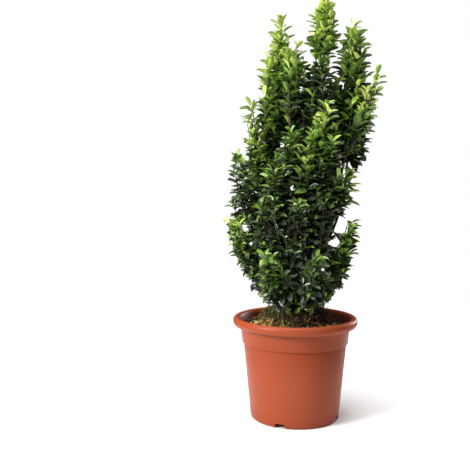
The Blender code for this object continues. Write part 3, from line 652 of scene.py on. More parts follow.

# for each mass: foot, tip, girth, shoulder, taper above the middle and fullness at the base, then the limb
# that its bough leaves, the share along that, the bough's turn and steepness in degrees where it leaves the
# trunk, how young the mass's growth is, and its shoots for each metre. How young a mass is also sets how
# dark its leaves are coloured, partly as painted shade on the middle of the crown
massKeys = (
    "foot", "tip", "girth", "shoulder", "taper", "base",
    "carrier", "at", "turn", "steepness", "young", "shoots",
)
massUser = {
    "top_left": ((-0.020, 0.015, 0.535), (-0.030, 0.010, 0.773), 0.041, 0.80, 0.70, 0.45,
        "trunk", 0.92, 155, 74, 0.94, 105),
    "top_centre": ((0.050, 0.002, 0.674), (0.053, 0.000, 0.795), 0.0235, 0.97, 0.42, 0.50,
        "trunk", 0.92, 60, 74, 1.10, 105),
    "top_right": ((0.098, 0.012, 0.485), (0.108, 0.000, 0.753), 0.040, 0.95, 0.60, 0.70,
        "trunk", 0.80, 4, 62, 0.77, 130),
    "upper_front": ((0.034, -0.052, 0.400), (0.055, -0.085, 0.603), 0.046, 0.88, 0.75, 0.45,
        "trunk", 0.80, -78, 58, 0.56, 150),
    "upper_back": ((0.022, 0.058, 0.430), (0.014, 0.070, 0.695), 0.052, 0.97, 0.75, 0.45,
        "trunk", 0.80, 96, 56, 0.50, 130),
    "mid_left": ((-0.066, 0.012, 0.306), (-0.117, 0.000, 0.518), 0.041, 0.88, 0.75, 0.60,
        "trunk", 0.80, 176, 48, 0.46, 140),
    "shoulder_left": ((-0.045, -0.005, 0.495), (-0.050, -0.005, 0.701), 0.024, 0.86, 0.75, 0.45,
        "top_left", 0.62, None, None, 0.80, 85),
    "tuft_left": ((-0.060, -0.026, 0.422), (-0.086, -0.022, 0.612), 0.025, 0.72, 0.75, 0.45,
        "top_left", 0.34, None, None, 0.66, 90),
    "sprig_left": ((-0.011, -0.036, 0.566), (-0.003, -0.027, 0.716), 0.0125, 0.90, 0.30, 0.60,
        "top_left", 0.80, None, None, 0.80, 60),
    "far_right": ((0.093, -0.028, 0.500), (0.154, -0.015, 0.665), 0.016, 0.80, 0.75, 0.45,
        "top_right", 0.60, None, None, 0.66, 90),
    "centre": ((0.030, -0.018, 0.455), (0.046, -0.020, 0.692), 0.044, 0.96, 0.68, 0.45,
        "top_centre", 0.34, None, None, 0.40, 170),
    "mid_right": ((0.046, -0.012, 0.326), (0.107, -0.026, 0.484), 0.027, 0.90, 0.40, 0.45,
        "top_right", 0.12, None, None, 0.54, 160),
    "upper_front_left": ((-0.014, -0.052, 0.400), (-0.008, -0.082, 0.558), 0.042, 0.84, 0.75, 0.45,
        "upper_front", 0.45, None, None, 0.50, 150),
    "mid_front_left": ((-0.024, -0.042, 0.288), (-0.042, -0.090, 0.490), 0.048, 0.92, 0.75, 0.45,
        "upper_front", 0.10, None, None, 0.30, 150),
    "mid_front_right": ((0.032, -0.042, 0.284), (0.050, -0.096, 0.446), 0.046, 0.92, 0.75, 0.45,
        "upper_front", 0.18, None, None, 0.26, 150),
    "mid_front": ((0.004, -0.044, 0.296), (0.006, -0.108, 0.428), 0.040, 0.90, 0.60, 0.80,
        "upper_front", 0.28, None, None, 0.24, 170),
    "mid_back_left": ((-0.024, 0.044, 0.288), (-0.044, 0.088, 0.565), 0.052, 0.92, 0.75, 0.45,
        "upper_back", 0.10, None, None, 0.38, 130),
    "mid_back_right": ((0.034, 0.044, 0.288), (0.066, 0.084, 0.590), 0.048, 0.94, 0.70, 0.45,
        "upper_back", 0.16, None, None, 0.40, 130),
    "low_left": ((-0.040, -0.022, 0.240), (-0.125, -0.040, 0.388), 0.026, 0.94, 0.40, 0.70,
        "trunk", 0.46, 207, 14, 0.58, 150),
    "low_front_left": ((-0.018, -0.042, 0.236), (-0.048, -0.110, 0.328), 0.038, 0.90, 0.75, 0.90,
        "trunk", 0.46, 243, 12, 0.32, 200),
    "low_front_right": ((0.024, -0.044, 0.236), (0.046, -0.114, 0.326), 0.038, 0.90, 0.75, 0.90,
        "trunk", 0.46, -62, 12, 0.30, 200),
    "low_right": ((0.044, -0.023, 0.238), (0.100, -0.060, 0.390), 0.032, 0.90, 0.52, 0.58,
        "trunk", 0.46, -24, 14, 0.64, 150),
    "low_back_left": ((-0.028, 0.040, 0.236), (-0.074, 0.104, 0.352), 0.040, 0.90, 0.75, 0.65,
        "trunk", 0.46, 126, 12, 0.42, 160),
    "low_back_right": ((0.034, 0.040, 0.236), (0.072, 0.100, 0.352), 0.038, 0.90, 0.75, 0.65,
        "trunk", 0.46, 52, 12, 0.42, 160),
}


def massFrom(row):
    mass = dict(zip(massKeys, row))
    mass["foot"], mass["tip"] = np.array(mass["foot"]), np.array(mass["tip"])
    mass["length"] = float(np.linalg.norm(mass["tip"] - mass["foot"]))
    mass["way"] = (mass["tip"] - mass["foot"]) / mass["length"]
    return mass


masses = {name: massFrom(row) for name, row in massUser.items()}


def curvePoints(start, startWay, end, endWay, steps, pull=0.38):
    reach = np.linalg.norm(end - start) * pull
    a = start + unit(startWay) * reach
    b = end - unit(endWay) * reach
    t = np.linspace(0, 1, steps + 1)[:, None]
    s = 1 - t
    return start * s**3 + a * 3 * s * s * t + b * 3 * s * t * t + end * t**3


def limbPaths():
    u = plantUser
    low, high = np.array(u["trunkFoot"]), np.array(u["trunkTop"])
    steps = u["boughSteps"]
    paths = {}
    for name, mass in masses.items():
        end = mass["foot"] - mass["way"] * (smallGap + u["boughEnd"])
        if mass["carrier"] == "trunk":
            start = blend(low, high, mass["at"])
            turn, steepness = math.radians(mass["turn"]), math.radians(mass["steepness"])
            level = math.cos(steepness)
            away = np.array((math.cos(turn) * level, math.sin(turn) * level, math.sin(steepness)))
            radius = u["boughRadius"] if mass["at"] > 0.5 else u["sideBoughRadius"]
        else:
            carrier = paths[mass["carrier"]]["coarse"]
            step = mass["at"] * (len(carrier) - 1)
            below = int(step)
            start = blend(carrier[below], carrier[below + 1], step - below)
            away = unit(carrier[below + 1] - carrier[below]) + unit(mass["foot"] - start)
            radius = u["sideBoughRadius"]
        tail = [mass["foot"] - mass["way"] * smallGap]
        coarse = np.concatenate([curvePoints(start, away, end, mass["way"], 6), tail])
        path = np.concatenate([curvePoints(start, away, end, mass["way"], steps), tail])
        radii = np.append(np.linspace(radius, u["boughTipRadius"], steps + 1), u["boughTipRadius"])
        paths[name] = {"coarse": coarse, "path": path, "radii": radii}
    return paths


limbs = limbPaths()


def shareAlong(points, a, b):
    # how far along a straight run each point's nearest place lies, and how far the point is from it
    run = b - a
    t = np.clip(((points - a) @ run) / (run @ run), 0, 1)
    return t, np.linalg.norm(points - (a + t[:, None] * run), axis=1)


def spaceRadius(mass, t):
    u = plantUser
    up = np.minimum(1.0, t / mass["shoulder"])
    rise = np.minimum(1.0, up / u["spaceRise"])
    rise = rise * rise * (3 - 2 * rise)
    wide = mass["girth"] * (mass["base"] + (1 - mass["base"]) * rise)
    body = wide * (1 - mass["taper"] * up ** u["spaceTaper"])
    return np.where(up < 1, np.maximum(u["leaderRadius"], body), u["leaderRadius"])


def outsideOf(points):
    # how far each point lies outside each mass's space, a row for each mass
    rows = []
    for mass in masses.values():
        t, away = shareAlong(points, mass["foot"], mass["tip"])
        rows.append(away - spaceRadius(mass, t))
    return np.array(rows)


def offLimbs(points):
    nearest = np.full(len(points), 1.0)
    for limb in limbs.values():
        for a, b in zip(limb["coarse"], limb["coarse"][1:]):
            nearest = np.minimum(nearest, shareAlong(points, a, b)[1] - limb["radii"][0])
    return nearest


def tubeRings(path, radii, sides, relief=0.0, seed=0):
    # rings of points round a path, with ridges along it where relief is above zero
    ahead = unit(np.gradient(path, axis=0))
    side = np.cross(ahead[0], (0.31, 0.77, 0.21))
    rings = []
    for i, centre in enumerate(path):
        side = unit(side - ahead[i] * (side @ ahead[i]))
        across = np.cross(ahead[i], side)
        ring = []
        for k in range(sides):
            angle = 2 * math.pi * k / sides
            radius = radii[i]
            if relief:
                ridge = noise.noise(Vector((math.cos(angle) * 2.2 + seed, math.sin(angle) * 2.2, i * 0.16)))
                knot = noise.noise(Vector(centre * 260.0) + Vector((seed, angle, 0)))
                radius *= 1 + relief * (ridge + 0.6 * knot)
            ring.append(centre + (side * math.cos(angle) + across * math.sin(angle)) * radius)
        rings.append(ring)
    return np.array(rings)


def ringsToMesh(rings):
    count, sides = rings.shape[:2]
    quads = []
    for i in range(count - 1):
        quads += bandQuads(i * sides, (i + 1) * sides, sides)
    points = list(rings.reshape(-1, 3)) + [rings[0].mean(axis=0), rings[-1].mean(axis=0)]
    first, last = count * sides, count * sides + 1
    tris = [(first, (k + 1) % sides, k) for k in range(sides)]
    top = (count - 1) * sides
    tris += [(last, top + k, top + (k + 1) % sides) for k in range(sides)]
    return np.array(points), quads, tris


def joined(parts):
    points, quads, tris, done = [], [], [], 0
    for somePoints, someQuads, someTris in parts:
        points.append(somePoints)
        quads.append(np.asarray(someQuads, int).reshape(-1, 4) + done)
        tris.append(np.asarray(someTris, int).reshape(-1, 3) + done)
        done += len(somePoints)
    return np.concatenate(points), np.concatenate(quads), np.concatenate(tris)


def barkFinish(name, dark, light):
    finish = newFinish(name, dark, 0.8, 0.3)
    streaks = noiseOn(finish, 300.0, 5.0, 0.65, (1.0, 1.0, 0.35))
    colourBy(finish, streaks, [(0.34, tinted(dark, 0.55)), (0.50, dark), (0.66, light)])
    bumpBy(finish, streaks, 0.7, 0.0006)
    return finish


def makeLimbs():
    u = plantUser
    low, high = np.array(u["trunkFoot"]), np.array(u["trunkTop"])
    heights = np.linspace(0, 1, u["trunkRings"])
    shares = np.interp(heights, *u["flareShape"])
    path = np.array([blend(low, high, h) for h in heights])
    rings = tubeRings(path, shares * u["flare"], u["trunkSides"], u["trunkRelief"], 2)
    bark = barkFinish("stemBark", *u["trunkBark"])
    trunk = addObject("trunk_bark", *ringsToMesh(rings))
    dress(trunk, bark, u["smoothUnder"])
    settle(trunk, "bark", "trunk")
    parts = []
    for i, limb in enumerate(limbs.values()):
        rings = tubeRings(limb["path"], limb["radii"], u["boughSides"], u["boughRelief"], i * 3.1)
        parts.append(ringsToMesh(rings))
    boughs = addObject("boughs_bark", *joined(parts))
    dress(boughs, bark, u["smoothUnder"])
    settle(boughs, "bark", *[f"bough_{name}" for name in masses])
    print("limbs made:", len(boughs.data.polygons), "faces")


# shoots: each mass's stem bears side shoots that curve out and turn upright, with pairs of leaves

shootUser = {
    "stemEnd": 0.018,             # how far below its mass's tip a stem ends
    "stemSway": 0.003,
    "stemSteps": 12,
    "stemRadii": (0.0021, 0.0008),
    "twigRadii": (0.0012, 0.0006),
    "stemSides": 6,
    "twigSides": 5,
    "twigSteps": 12,
    "plenty": 1.30,
    "fewest": 6,                  # side shoots on a mass
    "evenness": 0.010,            # a higher one puts more of them where the mass is narrow
    "turnStep": 2.39996,          # from shoot to shoot round the stem
    "turnJitter": 0.35,
    "lowestRoot": (0.002, 0.012),
    "tops": (0.10, 0.97),         # shares of a mass's length between which its side shoots end
    "topJitter": (0.1, 0.9),
    "climb": (0.060, 0.115),      # how far a side shoot climbs along its mass
    "climbShares": (0.75, 1.25),  # times that for a very thin mass, and for one of the girth below
    "wideGirth": 0.045,
    "skirt": 0.30,                # share of the lowest masses' shoots that lie out flat at their foot
    "skirtRise": 0.004,
    "skirtSlant": 0.3,
    "droop": 0.30,                # how far the ends of those shoots hang
    "reach": (0.25, 1.00),        # share of the space's radius that it reaches
    "startOutward": 0.9,          # how far outwards it leaves the stem
    "startSlant": 0.75,           # and how far upwards
    "outwardLean": 0.24,          # how far its end still leans outwards
    "upright": 0.30,              # how far its end turns straight up
    "arch": 0.42,                 # how long it keeps to the way that it leaves and to the way that it ends
    "youngFoot": 0.60,            # share of its mass's young growth that it has at the foot
    "youngRise": 0.55,            # and how much more at the tip
    "youngJitter": 0.24,
    "spacing": (0.0054, 0.0098),  # between pairs of leaves, at the tip and lower down
    "leafLength": (0.0205, 0.0255),
    "vigour": (0.88, 1.12),       # share of that length, for each shoot
    "spread": (27, 45),           # degrees from the shoot, at the tip and lower down
    "spreadJitter": 15,
    "openLower": 25,              # degrees more on the oldest growth
    "pairJitter": 0.22,           # how far a pair, and a leaf in it, turns round the shoot
    "leafJitter": 0.12,
    "roll": 0.35,
    "smallLower": 0.80,           # size of the leaves on the oldest growth
    "largeUpper": 1.18,           # and on the youngest
    "sizeJitter": 0.16,
    "outside": 0.0065,            # how far a leaf may pass its mass's space
    "tipsFurther": 0.0045,        # and how much further its tip may
    "overNeighbour": 0.0060,      # how much deeper in a neighbour's space than in its own it may lie
    "inside": 0.034,              # how far a leaf may pass it towards the middle of the crown
    "innerReach": 1.9,            # and how many times as far a shoot reaches there
    "crownMiddle": ((0.22, 0.40, 0.60), (0.004, 0.010, 0.040)),  # heights, and how far across it lies there
    "crownRadius": ((0.21, 0.26, 0.50, 0.60, 0.64), (0.050, 0.060, 0.055, 0.020, 0.0001)),
    "crownFade": 0.012,
    "twigOffLimb": 0.0008,        # least distances from limbs and compost
    "offLimb": 0.0012,
    "offSoil": 0.005,
    "leafless": 0.004,            # at the foot of each shoot
    "ageOver": 0.034,             # how far below a shoot's tip its leaves are full-grown
    "spaceOver": 0.030,           # and how far below it their pairs are furthest apart
    "fewestPoints": 5,            # of its path that a trimmed shoot must keep
    "youngTwig": 0.45,            # a shoot that is younger growth than this is green
    "smoothUnder": 80,
}
potLine = [(0.1035, potUser["height"]), (0.122, potUser["height"]), (0.126, 0.0)]  # the rim and the ground


def along(path, distance):
    runs = np.linalg.norm(np.diff(path, axis=0), axis=1)
    done = np.concatenate([[0.0], np.cumsum(runs)])

    def placeAt(far):
        return np.array([np.interp(far, done, path[:, k]) for k in range(3)]).T

    ahead = placeAt(np.minimum(distance + 0.002, done[-1])) - placeAt(np.maximum(distance - 0.002, 0.0))
    return placeAt(distance), unit(ahead), done[-1]


def soilClear(points):
    radius = np.hypot(points[:, 0], points[:, 1])
    return points[:, 2] - np.interp(radius, *zip(*soilLine, *potLine))


def inCrown(points):
    # 1 deep inside the crown, round the line that its limbs climb, 0 near its outline
    u = shootUser
    middle = np.interp(points[:, 2], *u["crownMiddle"])
    radius = np.interp(points[:, 2], *u["crownRadius"])
    away = np.hypot(points[:, 0] - middle, points[:, 1])
    return np.clip((radius - away) / u["crownFade"], 0, 1)


# where sky shows through from the front: across and up at the pot's axis, half width and half height
skyGaps = (
    (0.0860, 0.3740, 0.0120, 0.0145), (0.0740, 0.3390, 0.0125, 0.0065), (0.1010, 0.4030, 0.0050, 0.0100),
    (-0.0060, 0.4420, 0.0055, 0.0045), (-0.0850, 0.3350, 0.0040, 0.0045), (-0.0970, 0.3650, 0.0045, 0.0060),
    (-0.0180, 0.3500, 0.0040, 0.0040), (0.0070, 0.3460, 0.0030, 0.0040), (0.0710, 0.3540, 0.0040, 0.0030),
    (0.0530, 0.2840, 0.0045, 0.0055), (0.0885, 0.6370, 0.0055, 0.0050), (0.0890, 0.6050, 0.0025, 0.0020),
    (0.0900, 0.5260, 0.0045, 0.0045), (0.1390, 0.6510, 0.0040, 0.0060), (-0.0040, 0.7090, 0.0045, 0.0055),
    (0.0110, 0.6330, 0.0040, 0.0035), (-0.0260, 0.3360, 0.0030, 0.0030),
)


def inSkyGap(points):
    eye = np.array(studioUser["camera"])
    share = -eye[1] / (points[:, 1] - eye[1])
    across = points[:, 0] * share
    height = eye[2] + (points[:, 2] - eye[2]) * share
    found = np.zeros(len(points), bool)
    for x, z, wide, tall in skyGaps:
        found |= ((across - x) / wide) ** 2 + ((height - z) / tall) ** 2 < 1
    return found


def outsideAllowed(points):
    return blend(shootUser["outside"], shootUser["inside"], inCrown(points))


def jitter(rng, most):
    return rng.uniform(-most, most)


def growShoots():
    shoots = []
    u = shootUser
    for index, (name, mass) in enumerate(masses.items()):
        rng = random.Random(f"{plantUser['seed']}-{name}")
        way = mass["way"]
        front = unit(np.cross(way, (0.0, 1.0, 0.2)))
        beside = np.cross(way, front)
        bend = unit(front * jitter(rng, 1) + beside * jitter(rng, 1)) * u["stemSway"]
        t = np.linspace(0, 1, u["stemSteps"] + 1)[:, None]
        stem = mass["foot"] + way * (mass["length"] - u["stemEnd"]) * t + bend * np.sin(t * math.pi * 2)
        shoots.append({
            "mass": index, "path": stem, "radii": u["stemRadii"],
            "young": mass["young"], "leader": True,
        })
        count = max(u["fewest"], round(mass["shoots"] * mass["length"] * u["plenty"]))
        longer = blend(*u["climbShares"], mass["girth"] / u["wideGirth"])
        firstTurn = rng.uniform(0, 2 * math.pi)
        tops = np.linspace(u["tops"][0], min(u["tops"][1], mass["shoulder"] + 0.04), 60)
        weight = np.cumsum(spaceRadius(mass, tops) + u["evenness"])
        for k in range(count):
            share = (k + rng.uniform(*u["topJitter"])) / count
            top = float(np.interp(share * weight[-1], weight, tops)) * mass["length"]
            root = max(top - rng.uniform(*u["climb"]) * longer, rng.uniform(*u["lowestRoot"]))
            angle = firstTurn + k * u["turnStep"] + jitter(rng, u["turnJitter"])
            outward = front * math.cos(angle) + beside * math.sin(angle)
            start = mass["foot"] + way * root
            reach = blend(*u["reach"], math.sqrt(rng.random()))
            skirt = name.startswith("low") and k < count * u["skirt"]
            if skirt:
                top = root + u["skirtRise"]
                reach = 1.0
            radius = float(spaceRadius(mass, np.array(top / mass["length"]))) * reach
            end = mass["foot"] + way * top + outward * radius
            reached = end + outward * radius * (u["innerReach"] - 1)
            if inCrown(reached[None])[0] > 0.5:
                end = reached
            endWay = way + outward * u["outwardLean"] + np.array((0, 0, u["upright"]))
            if skirt:
                endWay = outward - np.array((0, 0, u["droop"]))
            startWay = outward * u["startOutward"] + way * (u["skirtSlant"] if skirt else u["startSlant"])
            path = curvePoints(start, startWay, end, endWay, u["twigSteps"], u["arch"])
            young = mass["young"] * (u["youngFoot"] + u["youngRise"] * share) + jitter(rng, u["youngJitter"])
            shoots.append({
                "mass": index, "path": path, "radii": u["twigRadii"],
                "young": max(0.05, young), "leader": False,
            })
    return shoots


def trimShoots(shoots):
    # a shoot ends where it would leave its space, cross a limb or touch the compost
    u = shootUser
    kept = []
    points = np.concatenate([s["path"] for s in shoots])
    outside = outsideOf(points)
    allowed = outsideAllowed(points)
    clear = offLimbs(points)
    ground = soilClear(points)
    done = 0
    for shoot in shoots:
        size = len(shoot["path"])
        rows = slice(done, done + size)
        done += size
        own = outside[shoot["mass"], rows]
        others = np.delete(outside[:, rows], shoot["mass"], axis=0).min(axis=0)
        fine = (own < allowed[rows]) & (own < others + u["overNeighbour"]) & (ground[rows] > u["offSoil"])
        if not shoot["leader"]:
            fine &= (clear[rows] > u["twigOffLimb"]) & ~inSkyGap(shoot["path"])
        fine[:2] = True
        bad = np.flatnonzero(~fine)
        last = bad[0] if len(bad) else size
        if last >= u["fewestPoints"]:
            shoot["path"] = shoot["path"][:last]
            kept.append(shoot)
    return kept


def pairPlaces(length):
    # distances from the shoot's tip, closer together at the tip
    places = []
    place = 0.0
    while place < length - shootUser["leafless"]:
        places.append(place)
        place += blend(*shootUser["spacing"], min(1.0, place / shootUser["spaceOver"]))
    return places


# a leaf's tone, from lime at the tips of young shoots to deep green on old growth and further back from the
# tips; the darker tones are partly the leaves' own colour and partly painted shade inside the crown and on
# its middle
toneUser = {
    "tip": 0.001,
    "fades": (0.012, 0.072),      # metres over which it darkens, on old growth and how much more on young
    "jitter": (0.72, 1.30),
    "oldUnder": 0.88,             # growth less young than this is darker throughout, partly as painted shade
    "oldAndShadedDarker": 1.5,
    "oldJitter": (0.55, 1.15),
    "steps": (0.21, 0.46, 0.84, 1.45, 2.4),
    "names": ("lime", "bright", "fresh", "mid", "dark", "deep"),
    "yellowShare": 0.0008,
}


def toneOf(back, young, rng):
    u = toneUser
    tone = (back + u["tip"]) / (u["fades"][0] + u["fades"][1] * young) * rng.uniform(*u["jitter"])
    return tone + max(0.0, u["oldUnder"] - young) * u["oldAndShadedDarker"] * rng.uniform(*u["oldJitter"])


def growLeaves(shoots):
    rows = {key: [] for key in ("mass", "root", "along", "face", "size", "tone", "shape")}
    u = shootUser
    for number, shoot in enumerate(shoots):
        rng = random.Random(f"{plantUser['seed']}-leaves-{number}")
        young = shoot["young"]
        length = along(shoot["path"], np.array([0.0]))[2]
        phase = rng.uniform(0, math.pi)
        vigour = rng.uniform(*u["vigour"])
        for j, back in enumerate(pairPlaces(length)):
            places, ways, _ = along(shoot["path"], np.array([length - back]))
            centre, way = places[0], ways[0]
            side = unit(np.cross(way, (0.83, 0.21, 0.11)))
            beside = np.cross(way, side)
            age = min(1.0, back / u["ageOver"])
            angle = phase + (j % 2) * math.pi / 2 + jitter(rng, u["pairJitter"])
            for half in (0.0, math.pi):
                turn = angle + half + jitter(rng, u["leafJitter"])
                outward = side * math.cos(turn) + beside * math.sin(turn)
                spread = blend(*u["spread"], age**0.7) + u["openLower"] * max(0.0, 1 - young)
                spread = math.radians(spread + jitter(rng, u["spreadJitter"]))
                leafWay = way * math.cos(spread) + outward * math.sin(spread)
                face = way * math.sin(spread) - outward * math.cos(spread)
                across = np.cross(leafWay, face)
                roll = jitter(rng, u["roll"])
                size = blend(*u["leafLength"], age**0.8) * vigour
                size *= blend(u["smallLower"], u["largeUpper"], min(1.0, young))
                size *= 1 + jitter(rng, u["sizeJitter"])
                leaf = {
                    "mass": shoot["mass"], "root": centre, "along": leafWay, "size": size,
                    "face": unit(face * math.cos(roll) + across * math.sin(roll)),
                    "tone": toneOf(back, young, rng), "shape": rng.randrange(len(leafUser["broad"])),
                }
                for key, value in leaf.items():
                    rows[key].append(value)
    return {key: np.array(value) for key, value in rows.items()}


def keepFitting(leaves):
    # only leaves that stay in reach of their mass, off the limbs, the compost and the gaps of sky
    u = shootUser
    fine = np.ones(len(leaves["size"]), bool)
    across = np.cross(leaves["along"], leaves["face"])
    tested = ((0.25, 0.0), (0.5, 0.0), (0.75, 0.0), (0.97, 0.0), (0.6, 0.24), (0.6, -0.24))
    for forward, sideways in tested:
        points = leaves["root"] + (leaves["along"] * forward + across * sideways) * leaves["size"][:, None]
        outside = outsideOf(points) - (u["tipsFurther"] if forward > 0.9 else 0.0)
        own = outside[leaves["mass"], np.arange(len(points))]
        outside[leaves["mass"], np.arange(len(points))] = 1.0
        others = outside.min(axis=0)
        fine &= (own < outsideAllowed(points)) & (own < others + u["overNeighbour"])
        fine &= (offLimbs(points) > u["offLimb"]) & (soilClear(points) > u["offSoil"]) & ~inSkyGap(points)
    print(len(fine), "leaves grown,", int(fine.sum()), "kept")
    return {key: value[fine] for key, value in leaves.items()}


# leaves: a folded blade on a short stalk, its tip turned back

leafUser = {
    "rows": (0.0, 0.10, 0.24, 0.42, 0.62, 0.81, 0.94),
    "halfWidths": (0.035, 0.045, 0.42, 0.78, 1.0, 0.88, 0.50),
    "broad": (0.40, 0.46, 0.37, 0.49, 0.42, 0.38),     # width for each shape
    "curl": (0.20, 0.34, 0.12, 0.28, 0.42, 0.18),      # how far its tip turns back
    "fold": (0.42, 0.28, 0.55, 0.36, 0.48, 0.24),      # how far its edges stand up
    "sway": (0.03, -0.04, 0.02, -0.02, 0.05, 0.0),     # sideways bend
    "thickness": 0.020,
    "smoothUnder": 75,
    "mostInPiece": 2000,
}
leafColours = {
    "lime": ((0.490, 0.585, 0.145), 0.32),
    "bright": ((0.300, 0.450, 0.075), 0.31),
    "fresh": ((0.136, 0.252, 0.036), 0.30),
    "mid": ((0.070, 0.114, 0.036), 0.30),
    "dark": ((0.043, 0.062, 0.032), 0.30),
    "deep": ((0.030, 0.040, 0.026), 0.30),
    "yellow": ((0.560, 0.350, 0.030), 0.42),
}
twigColours = {
    "stems": ((0.075, 0.034, 0.018), (0.150, 0.080, 0.042)),
    "twigs_old": ((0.060, 0.036, 0.015), (0.110, 0.080, 0.035)),
    "twigs_young": ((0.090, 0.150, 0.022), (0.150, 0.230, 0.040)),
}


def leafTemplate(k):
    u = leafUser
    broad, curl, fold, sway = (u[key][k] for key in ("broad", "curl", "fold", "sway"))
    points = []
    for t, half in zip(u["rows"], u["halfWidths"]):
        width = half * broad / 2
        back = -curl * t * t
        middle = sway * math.sin(t * math.pi)
        lift = fold * width * 1.6
        cup = fold * width * 0.45
        upper = [(-1, lift), (-0.52, cup), (0, 0), (0.52, cup), (1, lift), (0, -u["thickness"])]
        points += [(middle + width * share, t, back + up) for share, up in upper]
    points.append((0.0, 1.0, -curl * 1.08))
    return np.array(points)


def leafFaces():
    # each row has five points across its upper side and one below
    count = len(leafUser["rows"])
    quads = [(0, 1, 2, 5), (2, 3, 4, 5)]
    for i in range(count - 1):
        a, b = i * 6, i * 6 + 6
        quads += [(a + k, a + k + 1, b + k + 1, b + k) for k in range(4)]
        quads += [(a + 5, a, b, b + 5), (a + 4, a + 5, b + 5, b + 4)]
    a, tip = (count - 1) * 6, count * 6
    tris = [(a + k, a + k + 1, tip) for k in range(4)] + [(a + 5, a, tip), (a + 4, a + 5, tip)]
    return np.array(quads), np.array(tris)


def leafFinish(name):
    colour, roughness = leafColours[name]
    finish = newFinish(name + "Leaf", colour, roughness, 0.5)
    patches = noiseOn(finish, 70.0, 2.0)
    stops = [(0.33, tinted(colour, 0.72)), (0.50, colour), (0.68, tinted(colour, 1.30, 1.18, 1.2))]
    colourBy(finish, patches, stops)
    roughnessBy(finish, patches, roughness - 0.05, roughness + 0.10)
    bumpBy(finish, noiseOn(finish, 380.0, 3.0), 0.25, 0.0005)
    return finish


def leafPiece(name, leaves, chosen, finish):
    faces = leafFaces()
    parts = []
    across = np.cross(leaves["along"], leaves["face"])
    for k in range(len(leafUser["broad"])):
        picked = chosen[leaves["shape"][chosen] == k]
        if not len(picked):
            continue
        template = leafTemplate(k)
        axes = np.stack([across[picked], leaves["along"][picked], leaves["face"][picked]], axis=1)
        placed = np.einsum("pk,nkc->npc", template, axes) * leaves["size"][picked][:, None, None]
        placed += leaves["root"][picked][:, None, :]
        offsets = (np.arange(len(picked)) * len(template))[:, None, None]
        quads, tris = ((kind[None] + offsets).reshape(-1, kind.shape[1]) for kind in faces)
        parts.append((placed.reshape(-1, 3), quads, tris))
    piece = addObject(name, *joined(parts))
    dress(piece, finish, leafUser["smoothUnder"])
    return piece


def makeLeaves(leaves, nodes):
    tones = np.digitize(leaves["tone"], toneUser["steps"])
    rng = np.random.default_rng(plantUser["seed"])
    yellow = (rng.random(len(tones)) < toneUser["yellowShare"]) & (tones >= 2)
    tones[yellow] = len(toneUser["names"])
    most = leafUser["mostInPiece"]
    for number, tone in enumerate(toneUser["names"] + ("yellow",)):
        found = np.flatnonzero(tones == number)
        finish = leafFinish(tone)
        for letter, first in zip("abcdefgh", range(0, len(found), most)):
            chosen = found[first:first + most]
            settle(leafPiece(f"leaves_{tone}_{letter}", leaves, chosen, finish), "leaf", *nodes)
            print(f"leaves_{tone}_{letter} made:", len(chosen), "leaves")


def makeTwigs(shoots, nodes):
    groups = {kind: [] for kind in twigColours}
    for shoot in shoots:
        radii = np.linspace(*shoot["radii"], len(shoot["path"]))
        kind = "twigs_young" if shoot["young"] > shootUser["youngTwig"] else "twigs_old"
        sides = shootUser["twigSides"]
        if shoot["leader"]:
            kind, sides = "stems", shootUser["stemSides"]
        groups[kind].append(ringsToMesh(tubeRings(shoot["path"], radii, sides)))
    for kind, parts in groups.items():
        piece = addObject(kind, *joined(parts))
        dress(piece, barkFinish(kind + "Skin", *twigColours[kind]), shootUser["smoothUnder"])
        settle(piece, "bark" if kind != "twigs_young" else "leaf", *nodes)
        print(kind, "made:", len(parts), "shoots")


def makeFoliage():
    nodes = [f"foliage_{name}" for name in masses]
    shoots = trimShoots(growShoots())
    makeLeaves(keepFitting(growLeaves(shoots)), nodes)
    makeTwigs(shoots, nodes)


# floor, light and camera

studioUser = {
    "floorColour": (0.80, 0.80, 0.80),
    "floorRoughness": 0.9,
    "floorSpecular": 0.1,
    "floorRadius": 1.0,
    "floorSides": 96,
    "skyLight": 0.085,
    "key": {"place": (-1.75, -1.30, 1.35), "size": 0.8, "power": 85},
    "top": {"place": (-0.15, -0.15, 2.30), "size": 1.8, "power": 92},
    "edge": {"place": (1.20, 1.45, 0.60), "size": 0.6, "power": 15},
    "aim": (0.02, 0, 0.42),
    "camera": (0.0, -1.27, 0.43),
    "lens": 50.4,
    "yaw": 5.25,
    "pitch": 3.51,
}


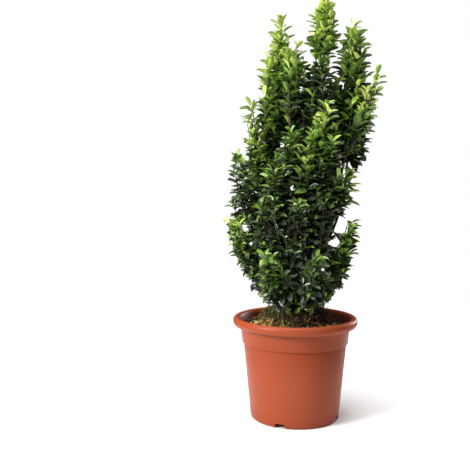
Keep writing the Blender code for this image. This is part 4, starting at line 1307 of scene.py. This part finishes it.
def makeFloor():
    u = studioUser
    sides = u["floorSides"]
    turns = [2 * math.pi * k / sides for k in range(sides)]
    ring = [(u["floorRadius"] * math.cos(a), u["floorRadius"] * math.sin(a), 0.0) for a in turns]
    tris = [(0, k + 1, (k + 1) % sides + 1) for k in range(sides)]
    floor = addObject("floor", [(0.0, 0.0, 0.0)] + ring, (), tris)
    finish = newFinish("paleFloor", u["floorColour"], u["floorRoughness"], u["floorSpecular"])
    floor.data.materials.append(finish)


def makeSky():
    # plain white where the camera sees it, and a dim even light on the plant
    world = bpy.data.worlds.new("studio")
    bpy.context.scene.world = world
    world.use_nodes = True
    nodes, links = world.node_tree.nodes, world.node_tree.links
    nodes.clear()
    mix = nodes.new("ShaderNodeMixShader")
    for slot, strength in ((1, studioUser["skyLight"]), (2, 1.0)):
        white = nodes.new("ShaderNodeBackground")
        white.inputs["Color"].default_value = (1, 1, 1, 1)
        white.inputs["Strength"].default_value = strength
        links.new(white.outputs[0], mix.inputs[slot])
    links.new(nodes.new("ShaderNodeLightPath").outputs["Is Camera Ray"], mix.inputs["Fac"])
    links.new(mix.outputs[0], nodes.new("ShaderNodeOutputWorld").inputs["Surface"])


def makeStudio():
    u = studioUser
    scene = bpy.context.scene
    makeFloor()
    makeSky()
    for name in ("key", "top", "edge"):
        light = bpy.data.lights.new(name + "Light", "AREA")
        light.size = u[name]["size"]
        light.energy = u[name]["power"]
        lamp = bpy.data.objects.new(name + "Light", light)
        lamp.location = u[name]["place"]
        aim = Vector(u["aim"]) - lamp.location
        lamp.rotation_euler = aim.to_track_quat("-Z", "Y").to_euler()
        scene.collection.objects.link(lamp)
    camera = bpy.data.cameras.new("camera")
    camera.lens = u["lens"]
    camera.sensor_width = 36.0
    eye = bpy.data.objects.new("camera", camera)
    eye.location = u["camera"]
    eye.rotation_euler = (math.radians(90 - u["pitch"]), 0, math.radians(u["yaw"]))
    scene.collection.objects.link(eye)
    scene.camera = eye
    scene.view_settings.view_transform = "Standard"
    print("studio made")


makePot()
makeCompost()
makeBits()
makeLimbs()
makeFoliage()
makeStudio()
